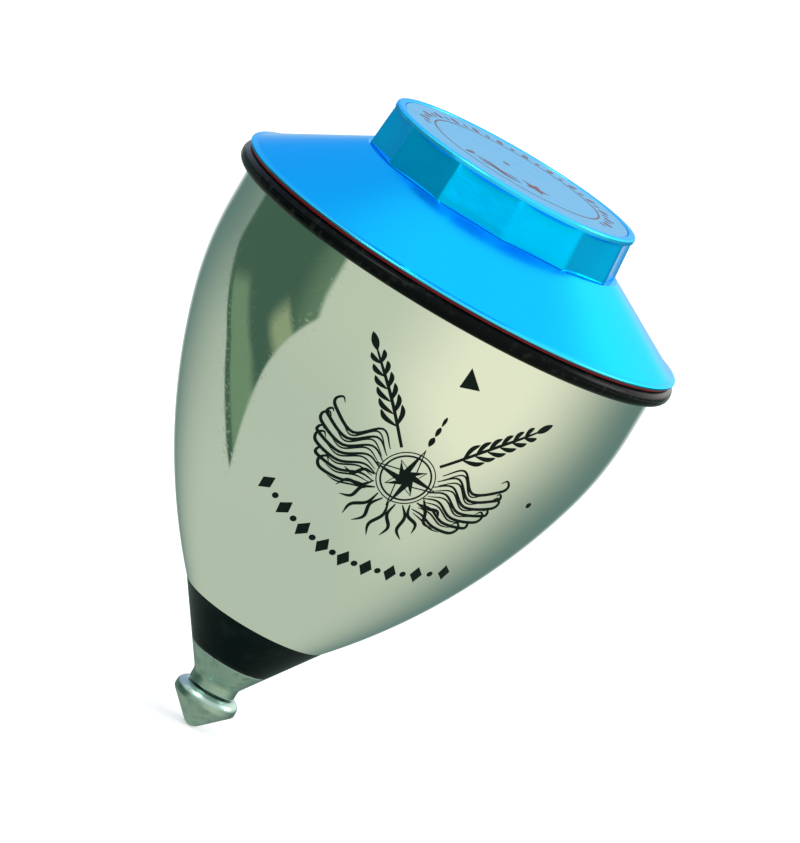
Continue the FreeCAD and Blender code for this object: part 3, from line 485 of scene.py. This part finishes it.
def anodised(s):
    place = s.place()
    height = s.axes(place)[2]
    grain = s.noise(place, 5200.0, 3.0)
    cloud = s.noise(place, 85.0, 3.0)
    turned = s.noise(s.stretch(place, (180, 180, 9000)), 1.0, 2.0)
    # painted highlight: a paler blue band of colour along the lip
    painted_lip_highlight = height.step(lip_level + 0.0003, lip_level - 0.0001)
    blue = s.mix(cloud, (0.0, 0.45, 0.90), (0.0, 0.52, 0.98))
    grained = s.mix(grain * 0.25, blue, (0.0, 0.55, 1.0))
    return {
        "Base_Color": s.mix(painted_lip_highlight * 0.6, grained, (0.08, 0.75, 1.0)),
        "Roughness": 0.12 + 0.08 * grain + 0.04 * cloud,
        "Normal": s.bump(grain + 0.6 * turned, 0.0000035),
    }


blue_metal = finish("blue_metal", anodised, Metallic=1.0, Specular_Tint=(0.3, 0.75, 1.0, 1),
                    Coat_Weight=0.1, Coat_Roughness=0.15)

# %% Spin the cover
SKIRT_RADIUS = 27.3
SKIRT_BORE = 26.1
COVER_WALL = 1.5
COVER_LAND = 17.81
COVER_HOLE = 2.15
BOSS_RADIUS = 6.0
BOSS_DEPTH = 2.0
BEVEL_WIDTH = 0.8
BEVEL_RISE = 0.2
ceiling = cover_top - COVER_WALL
inner_land = COVER_LAND - COVER_WALL / 2
cone_fall = (cover_top - trim_high - COVER_LIP) / (rim_radius - COVER_LAND)
skirt_top = ceiling - (SKIRT_BORE - inner_land) * cone_fall
add_piece("blue_cover", spin(soften([
    (SKIRT_RADIUS, trim_high), (rim_radius, trim_high, 0.1), (rim_radius, trim_high + COVER_LIP, 0.12),
    (rim_radius - BEVEL_WIDTH, trim_high + COVER_LIP + BEVEL_RISE, 0.4), (COVER_LAND, cover_top, 0.3),
    (COVER_HOLE, cover_top), (COVER_HOLE, ceiling - BOSS_DEPTH), (BOSS_RADIUS, ceiling - BOSS_DEPTH),
    (BOSS_RADIUS, ceiling), (inner_land, ceiling), (SKIRT_BORE, skirt_top), (SKIRT_BORE, cover_low),
    (SKIRT_RADIUS, cover_low)])), blue_metal, ["top_cover"])

# %% [markdown]
# ## The crown
# The crown is a moulded knob with a bright metallised skin, tinted blue. Twelve slightly hollow facets
# let the fingers grip it, and a thin round lip closes them at the top. A lathe alone can't make facets,
# so the same outline is spun with a radius that changes with the angle. Real moulds leave no knife
# edges, so the corners between facets are rounded, and each facet runs out under the lip in a cove.

# %% Blue metallised plastic
crown_top = span("grip_crown")[1]
crown_foot = cover_top
CROWN_LIP = 0.7
crown_lip_level = crown_top - CROWN_LIP


def metallised(s):
    place = s.place()
    height = s.axes(place)[2]
    cloud = s.noise(place, 240.0, 3.0)
    hairline = s.scratches(place, 0.4, 0.0003)
    speck = s.noise(place, 4200.0, 1.0).step(0.70, 0.76)
    # the lip band is painted paler blue: partly wear, partly a painted highlight
    lip_wear_and_painted_highlight = height.step((crown_lip_level - 0.1) * MM, (crown_lip_level + 0.3) * MM)
    blue = s.mix(cloud, (0.0, 0.47, 1.0), (0.0, 0.58, 1.0))
    return {
        "Base_Color": s.mix(lip_wear_and_painted_highlight * 0.5, blue, (0.08, 0.66, 1.0)),
        "Roughness": 0.06 + 0.06 * cloud + 0.10 * hairline + 0.10 * speck,
        "Normal": s.bump(cloud - 0.05 * hairline + 0.01 * speck, 0.00004),
    }


blue_chrome = finish("blue_chrome", metallised, Metallic=0.76, Specular_Tint=(0.0, 0.5, 1.0, 1),
                     Specular_IOR_Level=0.2)

# %% Spin the crown with its facets
CROWN_LIP_RADIUS = 17.05
CROWN_FOOT_RADIUS = 17.51
CROWN_RIM = 1.1
CROWN_FLOOR = 2.2
CROWN_POCKET = 4.3
DISC_DEPTH = 0.3
FACETS = 12
FACET_TURN = 24.0
FACET_BOW = 60.0
FACET_DEPTH = 0.66
FACET_COVE = 0.7
EDGE_BLEND = 0.035
CROWN_FOOT_EASE = 0.12
LIP_STEP = 0.02
RECESS_MARGIN = 0.3
LEVEL_ERROR = 1e-6
CROWN_STEPS = 1080
facet_reach = CROWN_FOOT_RADIUS - FACET_DEPTH + FACET_BOW
crown_lean = (CROWN_FOOT_RADIUS - CROWN_LIP_RADIUS) / (crown_lip_level - crown_foot)


def facet_radius(angle, radius, height):
    """The side of the crown: hollow facets with eased corners, below the lip and outside the recess."""
    rise = height - crown_foot
    if height > crown_lip_level - LEVEL_ERROR or radius < CROWN_LIP_RADIUS - RECESS_MARGIN:
        return radius
    pitch = 360 / FACETS
    off = math.radians((angle - FACET_TURN + pitch / 2) % pitch - pitch / 2)
    bow = FACET_BOW + rise * crown_lean
    hollow = facet_reach * math.cos(off) - math.sqrt(bow ** 2 - (facet_reach * math.sin(off)) ** 2)
    hollow -= CROWN_FOOT_RADIUS - radius - rise * crown_lean
    eased = -EDGE_BLEND * math.log(math.exp(-(hollow - radius) / EDGE_BLEND) + 1) + radius
    run_out = max(0.0, 1 - (crown_lip_level - height) / FACET_COVE)
    cove = 1 - math.sqrt(1 - run_out ** 2)
    return eased + (CROWN_LIP_RADIUS - LIP_STEP - eased) * cove


recess_radius = CROWN_LIP_RADIUS - CROWN_RIM
side = [(CROWN_FOOT_RADIUS - CROWN_FOOT_EASE, crown_foot),
        (CROWN_FOOT_RADIUS - CROWN_FOOT_EASE / 4, crown_foot + CROWN_FOOT_EASE / 3)]
# the rings lie closer together in the cove under the lip
rises = [CROWN_FOOT_EASE, 1.0, 2.0, 3.0, 4.0, 4.6, 4.75, 4.9, 5.0, 5.08, 5.15, 5.2, 5.25, 5.29, 5.32,
         5.34]
side += [(CROWN_FOOT_RADIUS - rise * crown_lean, crown_foot + rise) for rise in rises]
lip = soften([(CROWN_LIP_RADIUS - LIP_STEP, crown_lip_level),
              (CROWN_LIP_RADIUS, crown_lip_level + LIP_STEP, LIP_STEP / 2),
              (CROWN_LIP_RADIUS, crown_top, 0.28), (recess_radius, crown_top, 0.12),
              (recess_radius, crown_top - DISC_DEPTH), (CROWN_POCKET, crown_top - DISC_DEPTH),
              (CROWN_POCKET, crown_foot + CROWN_FLOOR), (COVER_HOLE, crown_foot + CROWN_FLOOR),
              (COVER_HOLE, crown_foot)])
add_piece("blue_crown", spin(side + lip, CROWN_STEPS, facet_radius), blue_chrome,
          ["grip_crown"])
print("crown: %.2f mm over the lip" % (2 * CROWN_LIP_RADIUS))

# %% [markdown]
# ## The disc in the crown
# A thin plastic disc covers the screw. It is pale blue with a satin face, and it lies a little below
# the crown's rim so that it isn't rubbed. Its print is added further down.

# %% Pale blue plastic
disc_low, disc_high, disc_radius = span("crown_disc")
DISC_SINK = 0.08
disc_face = disc_high - DISC_SINK


def pale_plastic(s):
    place = s.place()
    cloud = s.noise(place, 160.0, 3.0)
    hairline = s.scratches(place, 0.2, 0.00035) + s.scratches(place, 1.4, 0.00045)
    return {
        "Base_Color": s.mix(cloud, (0.03, 0.27, 0.50), (0.07, 0.33, 0.56)),
        "Roughness": 0.26 + 0.10 * cloud + 0.12 * hairline,
        "Normal": s.bump(s.noise(place, 2600.0, 2.0) - hairline, 0.0000025),
    }


printed_disc = finish("printed_disc", pale_plastic, Specular_IOR_Level=0.06)
add_piece("pale_disc", spin(soften([
    (0, disc_low), (disc_radius, disc_low), (disc_radius, disc_face, 0.05), (0, disc_face)])),
    printed_disc, ["crown_disc"])

# %% [markdown]
# ## Collar, cone and head
# Below the shell comes a black plastic collar, then the fixed cone and the head that turns under it,
# both turned from zinc-plated steel. A turned face keeps the track of the tool: rings so fine that the
# eye reads them as a soft streak. They are a stretched noise, squeezed along the axis, in the bump and
# in the roughness. Plating is never even, so its colour drifts between grey and green-grey.

# %% Black plastic and plated steel
collar_low, collar_high, collar_radius = span("tip_collar")
head_high, head_radius = span("tip_head")[1:]


def gloss_black(s):
    place = s.place()
    height = s.axes(place)[2]
    hairline = s.scratches(place, 0.3, 0.0003)
    handled = s.noise(place, 420.0, 4.0).step(0.45, 0.75)
    rub = height.step((collar_low + 0.5) * MM, collar_low * MM)
    return {
        "Base_Color": s.mix(0.4 * rub + 0.2 * handled, (0.0, 0.003, 0.003), (0.012, 0.022, 0.020)),
        "Roughness": 0.13 + 0.12 * handled + 0.15 * hairline,
        "Normal": s.bump(s.noise(place, 1500.0, 3.0) - hairline, 0.000004),
    }


def plated(s):
    place = s.place()
    rings = s.noise(s.stretch(place, (90, 90, 6500)), 1.0, 2.0)
    cloud = s.noise(place, 300.0, 4.0)
    stain = s.noise(place, 900.0, 4.0).step(0.50, 0.80)
    bright = s.mix(cloud, (0.26, 0.40, 0.35), (0.42, 0.56, 0.50))
    return {
        "Base_Color": s.mix(0.6 * stain, bright, (0.13, 0.20, 0.17)),
        "Roughness": 0.24 + 0.14 * rings + 0.12 * stain,
        "Normal": s.bump(rings + 0.3 * cloud, 0.000010),
    }


black_plastic = finish("black_plastic", gloss_black, Specular_IOR_Level=0.05)
zinc_steel = finish("zinc_steel", plated, Metallic=1.0)

# %% Spin the collar and the cone
COLLAR_FOOT_BORE = 4.55
COLLAR_BORE = 5.45
collar_step = collar_low + 0.8
cone_low, cone_high, shoulder = span("tip_cone")
NECK_RADIUS = 3.2
NECK_LENGTH = 1.287
NECK_BLEND = 1.2
SPIGOT_RADIUS = 4.5
STEM_HOLE = 2.3
add_piece("black_collar", spin(soften([
    (COLLAR_FOOT_BORE, collar_low), (shoulder, collar_low, 0.12), (collar_radius, collar_high, 0.08),
    (COLLAR_BORE, collar_high), (COLLAR_BORE, collar_step), (COLLAR_FOOT_BORE, collar_step)])),
    black_plastic, ["tip_collar"])
add_piece("grey_cone", spin(soften([
    (STEM_HOLE, cone_low), (NECK_RADIUS, cone_low, 0.15),
    (NECK_RADIUS, cone_low + NECK_LENGTH, NECK_BLEND), (shoulder, collar_low, 0.10),
    (SPIGOT_RADIUS, collar_low), (SPIGOT_RADIUS, cone_high, 0.2), (STEM_HOLE, cone_high)], steps=10)),
    zinc_steel, ["tip_cone"])

# %% Spin the head and its stem
BALL_END = 1.5
STEM_RADIUS = 2.0
JOURNAL_RADIUS = 1.5
GROOVE_RADIUS = 1.15
GROOVE_GAP = 0.05
HEAD_BAND = 1.72
HEAD_STEPS = 192
POINT_CUT = BALL_END * (math.sqrt(2) - 1)
head_edge = head_radius - POINT_CUT
head_top = head_edge + HEAD_BAND
bearing_low = span("bearing_inner_race")[0]
clip_low, clip_high = span("stem_clip")[:2]
groove_low, groove_high = clip_low - GROOVE_GAP, clip_high + GROOVE_GAP
ball_end = [(0, 0)] + [(BALL_END * math.sin(a), BALL_END * (1 - math.cos(a)))
                       for a in (math.radians(5 * k) for k in range(1, 10))]
add_piece("grey_head", spin(soften(ball_end + [
    (head_radius, head_edge, 0.6), (head_radius, head_top, 1.1), (STEM_RADIUS, head_top),
    (STEM_RADIUS, bearing_low), (JOURNAL_RADIUS, bearing_low), (JOURNAL_RADIUS, groove_low),
    (GROOVE_RADIUS, groove_low), (GROOVE_RADIUS, groove_high), (JOURNAL_RADIUS, groove_high),
    (JOURNAL_RADIUS, head_high, 0.2), (0, head_high)], steps=10), HEAD_STEPS),
    zinc_steel, ["tip_head"], "tip")

# %% [markdown]
# ## The print
# The shell carries a black line print, and the disc a brown one. Ink is a layer, so each stroke here is
# a real ribbon a few hundredths of a millimetre thick, laid on the curved surface. A mask in the shader
# would do the same job, but a ribbon keeps its edge at any distance. The motif is a plain one: a compass
# star in a ring, with sprays of leaves above it, curling waves beside it, strands of water that fall
# from it and a border of lozenges and dots at the bottom.

# %% Lay ink on a surface
INK_ABOVE = 0.02
INK_BELOW = 0.04
INK_STEP = 0.7


def smooth_line(points, count):
    """Points along a smooth line through the given ones."""
    points = [Vector(point) for point in points]
    padded = [2 * points[0] - points[1]] + points + [2 * points[-1] - points[-2]]
    spans = len(points) - 1
    line = []
    for k in range(count + 1):
        place = k / count * spans
        i = min(int(place), spans - 1)
        t = place - i
        a, b, c, d = padded[i:i + 4]
        line.append(0.5 * (2 * b + (c - a) * t + (2 * a - 5 * b + 4 * c - d) * t ** 2
                           + (3 * b - a - 3 * c + d) * t ** 3))
    return line


class Print:
    """Strokes and filled shapes drawn flat in millimetres and laid on a curved surface."""

    def __init__(self, lay):
        self.lay = lay
        self.mesh = bmesh.new()

    def corner(self, spot, lift):
        point, out = self.lay(spot.x, spot.y)
        return self.mesh.verts.new((point + out * lift) * MM)

    def stroke(self, points, width, tip, tail, count):
        """A line of ink: it swells to its width in the middle and thins to tip and tail shares of it."""
        line = smooth_line(points, count)
        sections = []
        for k, spot in enumerate(line):
            ahead = (line[min(k + 1, count)] - line[max(k - 1, 0)]).normalized()
            side = Vector((-ahead.y, ahead.x))
            t = k / count
            end = tail + (tip - tail) * t
            half = width / 2 * (end + (1 - end) * math.sin(math.pi * t) ** 0.8)
            left, right = spot + side * half, spot - side * half
            sections.append([self.corner(left, -INK_BELOW), self.corner(right, -INK_BELOW),
                             self.corner(right, INK_ABOVE), self.corner(left, INK_ABOVE)])
        for one, two in zip(sections, sections[1:]):
            for i in range(4):
                self.mesh.faces.new((one[i], one[(i + 1) % 4], two[(i + 1) % 4], two[i]))
        self.mesh.faces.new(sections[0])
        self.mesh.faces.new(reversed(sections[-1]))

    def patch(self, spots):
        """A filled shape whose corners all see its middle, in steps small enough to follow the curve."""
        spots = [Vector(spot) for spot in spots]
        middle = sum(spots, Vector((0, 0))) / len(spots)
        edge = []
        for one, two in zip(spots, spots[1:] + spots[:1]):
            parts = math.ceil((two - one).length / INK_STEP)
            edge += [one.lerp(two, k / parts) for k in range(parts)]
        steps = math.ceil(max((spot - middle).length for spot in edge) / INK_STEP)
        sheets = []
        for lift in (-INK_BELOW, INK_ABOVE):
            rings = [[self.corner(middle.lerp(spot, k / steps), lift) for spot in edge]
                     for k in range(steps, 0, -1)]
            sheets.append(rings + [[self.corner(middle, lift)]])
        for i in range(len(edge)):
            j = (i + 1) % len(edge)
            self.mesh.faces.new((sheets[0][0][i], sheets[0][0][j], sheets[1][0][j], sheets[1][0][i]))
            for rings in sheets:
                for outer, inner in zip(rings, rings[1:-1]):
                    self.mesh.faces.new((outer[i], outer[j], inner[j], inner[i]))
                self.mesh.faces.new((rings[-2][i], rings[-2][j], rings[-1][0]))

    def dot(self, centre, radius, sides=14):
        self.patch([(centre[0] + radius * math.cos(2 * math.pi * k / sides),
                     centre[1] + radius * math.sin(2 * math.pi * k / sides)) for k in range(sides)])

    def loop(self, radius, width, pieces, centre=(0, 0)):
        """A thin circle of even width, in short strokes that meet."""
        for k in range(pieces):
            first = math.radians(360.0 * k / pieces)
            last = math.radians(360.0 * (k + 1) / pieces)
            angles = [first + (last - first) * i / 4 for i in range(5)]
            self.stroke([(centre[0] + radius * math.cos(angle), centre[1] + radius * math.sin(angle))
                         for angle in angles], width, 1.0, 1.0, 8)

    def star(self, centre, reach, waist, points, turn=0.0):
        """A star whose points are each filled on one side and outlined on the other."""
        centre = Vector(centre)
        for k in range(points):
            angle = math.radians(turn) + 2 * math.pi * k / points
            step = math.pi / points
            tip = centre + reach * Vector((math.sin(angle), math.cos(angle)))
            left = centre + waist * Vector((math.sin(angle - step), math.cos(angle - step)))
            right = centre + waist * Vector((math.sin(angle + step), math.cos(angle + step)))
            self.patch([centre, left, tip])
            self.stroke([tip, right], reach * 0.035, 1.0, 1.0, 6)
            self.stroke([centre, right], reach * 0.035, 1.0, 1.0, 3)


def ink(name, dark, pale):
    def dried(s):
        place = s.place()
        patchy = s.noise(place, 2500.0, 3.0)
        return {"Base_Color": s.mix(patchy, dark, pale), "Roughness": 0.30 + 0.2 * patchy,
                "Normal": s.bump(patchy, 0.000004)}
    return finish(name, dried, Specular_IOR_Level=0.05)


black_ink = ink("black_ink", (0.001, 0.004, 0.003), (0.005, 0.011, 0.008))
brown_ink = ink("brown_ink", (0.09, 0.035, 0.045), (0.16, 0.075, 0.085))

# %% Print the shell
EMBLEM_ANGLE = 16.5
EMBLEM_LIFT = 29.3
STAR_CENTRE = (0, 0.2)


def lay_on_shell(across, up):
    """The shell's surface at a distance round from the emblem's middle and a height above it."""
    lift = EMBLEM_LIFT + up
    radius, lean = shell_side(lift)
    angle = math.radians(EMBLEM_ANGLE) + across / radius
    flat = Vector((math.sin(angle), -math.cos(angle), 0))
    return flat * radius + Vector((0, 0, shell_foot + lift)), flat * lean.x + Vector((0, 0, lean.y))


def draw_spray(sheet, side):
    """A long stem that leans outward, with pairs of leaves and a bud."""
    foot, top = Vector((side * 2.7, 3.5)), Vector((side * 11.8, 12.8))
    along = (top - foot).normalized()
    across = Vector((-along.y, along.x))
    sheet.stroke([foot, foot.lerp(top, 0.5) + across * side * 0.25, top], 0.42, 0.5, 0.9, 14)
    for k in range(6):
        root = foot.lerp(top, 0.22 + 0.125 * k)
        size = 2.6 - 0.2 * k
        for hand in (-1, 1):
            sheet.stroke([root, root + along * size * 0.55 + across * hand * size * 0.42,
                          root + along * size + across * hand * size * 0.50], 0.62, 0.02, 0.15, 10)
    sheet.stroke([top - along * 0.3, top + along * 0.8, top + along * 2.0], 0.95, 0.02, 0.2, 10)


def draw_waves(sheet, side):
    """Locks of water that roll out from the ring, dip and curl back at their ends."""
    for k in range(7):
        start = Vector((side * (3.7 - 0.12 * k), 2.6 - 0.95 * k))
        reach = 8.8 - 0.15 * (k - 2) ** 2
        rise = 1.9 - 0.42 * k
        end = start + Vector((side * reach, 0.8 * rise - 0.5))
        curl = 1.0 if k % 2 == 0 else 0.6
        sheet.stroke([start, start + Vector((side * reach * 0.26, rise * 0.8 + 0.3)),
                      start + Vector((side * reach * 0.60, rise * 0.2 - 0.9)), end,
                      end + Vector((side * 0.75, 1.0)) * curl, end + Vector((side * 0.1, 1.75)) * curl,
                      end + Vector((-side * 0.55, 1.15)) * curl], 0.42, 0.05, 0.25, 36)
        sheet.stroke([start + Vector((side * 0.4, -0.40)),
                      start + Vector((side * reach * 0.30, rise * 0.8 - 0.30)),
                      start + Vector((side * reach * 0.58, rise * 0.2 - 1.3)),
                      start + Vector((side * reach * 0.80, rise * 0.5 - 1.1))], 0.24, 0.05, 0.2, 20)


def draw_cascade(sheet):
    """Strands of water that fall from the ring in a fan and flick up at their tips."""
    for k in range(11):
        way = math.radians(-90 + 13.5 * (k - 5))
        ahead = Vector((math.cos(way), math.sin(way)))
        across = Vector((-ahead.y, ahead.x)) * (1 if k % 2 else -1)
        start = Vector(STAR_CENTRE) + ahead * 3.8
        reach = 5.0 - 0.12 * abs(k - 5) ** 1.5 + (0.5 if k % 2 else 0)
        sheet.stroke([start, start + ahead * reach * 0.35 + across * 0.45,
                      start + ahead * reach * 0.70 - across * 0.30,
                      start + ahead * reach + across * 0.35], 0.46, 0.04, 0.3, 24)


shell_print = Print(lay_on_shell)
shell_print.star(STAR_CENTRE, 4.4, 1.15, 4)
shell_print.star(STAR_CENTRE, 2.6, 1.0, 4, 45.0)
shell_print.loop(3.05, 0.24, 16, STAR_CENTRE)
shell_print.loop(3.55, 0.14, 16, STAR_CENTRE)
for side_sign in (-1, 1):
    draw_spray(shell_print, side_sign)
    draw_waves(shell_print, side_sign)
draw_cascade(shell_print)
for k in range(3):
    shell_print.stroke([(0, level + 1.5 * k) for level in (5.2, 6.0, 6.6)],
                       0.75 - 0.15 * k, 0.05, 0.05, 8)

BORDER_COUNT = 17
BORDER_HALF_ANGLE = 34.0
BORDER_LEVEL = -13.4
BORDER_RISE = 3.7
BORDER_TILT = 0.5
BORDER_DOT = 0.42
LOZENGE = ((0, 1.3), (-0.85, 0), (0, -1.3), (0.85, 0))
for k in range(BORDER_COUNT):
    share = 2 * k / (BORDER_COUNT - 1) - 1
    up = BORDER_LEVEL + BORDER_RISE * share ** 2
    middle = Vector((math.radians(BORDER_HALF_ANGLE * share) * shell_side(EMBLEM_LIFT + up)[0], up))
    tilt = Matrix.Rotation(math.atan(BORDER_TILT * share), 2)
    if k % 2 == 0:
        shell_print.patch([middle + tilt @ Vector(spot) for spot in LOZENGE])
    else:
        shell_print.dot(middle, BORDER_DOT)
# two small marks, one above the motif and one to its right
shell_print.patch([(-0.6, 16.4), (-0.8, 13.6), (1.7, 14.3)])
shell_print.dot((17.9, 3.2), BORDER_DOT)
add_piece("shell_print", shell_print.mesh, black_ink)

# %% Print the disc
DISC_CIRCLE = 11.7
DISC_DASHES = 26
DISC_ARC = 210.0


def lay_on_disc(across, up):
    return Vector((across, up, disc_face)), Vector((0, 0, 1))


disc_print = Print(lay_on_disc)
disc_print.loop(DISC_CIRCLE, 0.24, 24)
for k in range(DISC_DASHES + 1):
    angle = math.radians(DISC_ARC) * (k / DISC_DASHES - 0.5) + math.pi / 2
    way = Vector((math.cos(angle), math.sin(angle)))
    reach, width = (13.9, 0.95) if k % 2 else (13.4, 0.6)
    disc_print.stroke([way * 12.5, way * 13.0, way * reach], width, 0.6, 0.6, 4)
star_spots = []
for k, reach in enumerate((2.0, 0.95) * 5):
    angle = math.radians(36 * k)
    star_spots.append((3.2 + reach * math.sin(angle), -6.3 + reach * math.cos(angle)))
disc_print.patch(star_spots)
disc_print.dot((-1.5, -0.4), 0.5)
for k in range(3):
    disc_print.stroke([(-5.4 + 0.6 * k, -7.6 - 0.75 * k), (-3.6 + 0.6 * k, -7.0 - 0.75 * k),
                       (-1.6 + 0.6 * k, -7.9 - 0.75 * k), (0.6 + 0.4 * k, -7.1 - 0.75 * k)],
                      0.5, 0.1, 0.1, 16)
disc_print.stroke([(-6.6, -8.2), (-6.0, -7.2), (-5.6, -6.0)], 0.9, 0.05, 0.05, 10)
add_piece("disc_print", disc_print.mesh, brown_ink)

# %% [markdown]
# ## The works inside
# The bearing, the tube, the flywheel and the fixings hide in the shell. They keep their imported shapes,
# and each gets a working finish of its own: ground races, plated fixings, turned aluminium with its
# tool track, oiled steel and the waxy nylon of the ball cage.

# %% Finishes for the works
def worked(name, dark, pale, roughness, track, metallic=1.0):
    """Metal or plastic with a tool track of its own pitch and a slow drift of colour."""
    def surface(s):
        place = s.place()
        rings = s.noise(s.stretch(place, (120, 120, track)), 1.0, 2.0)
        drift = s.noise(place, 350.0, 4.0)
        return {
            "Base_Color": s.mix(drift, dark, pale),
            "Roughness": roughness + 0.12 * rings + 0.08 * drift,
            "Normal": s.bump(rings + 0.4 * drift, 0.000006),
        }
    return finish(name, surface, Metallic=metallic)


WORKS = {
    "bearing_steel": (worked("bearing_steel", (0.60, 0.61, 0.62), (0.74, 0.75, 0.76), 0.08, 9000),
                      ("bearing_inner_race", "bearing_outer_race", "bearing_balls", "bearing_shields")),
    "cage_plastic": (worked("cage_plastic", (0.62, 0.57, 0.44), (0.78, 0.73, 0.60), 0.42, 1500, 0.0),
                     ("bearing_cage",)),
    "fixing_steel": (worked("fixing_steel", (0.38, 0.39, 0.42), (0.54, 0.55, 0.58), 0.28, 3000),
                     ("stem_washer", "stem_clip", "crown_washer", "crown_screw", "flywheel_washer",
                      "flywheel_nut")),
    "turned_aluminium": (worked("turned_aluminium", (0.62, 0.63, 0.64), (0.76, 0.77, 0.78), 0.22, 5000),
                         ("bearing_housing", "tie_tube", "spacer_sleeve")),
    "weight_steel": (worked("weight_steel", (0.27, 0.28, 0.30), (0.42, 0.43, 0.45), 0.30, 4000),
                     ("flywheel",)),
}
for slot_name, (material, members) in WORKS.items():
    for node in members:
        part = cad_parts[node]
        part.data.materials.clear()
        part.data.materials.append(material)
    print("%-18s %d parts" % (slot_name, len(members)))
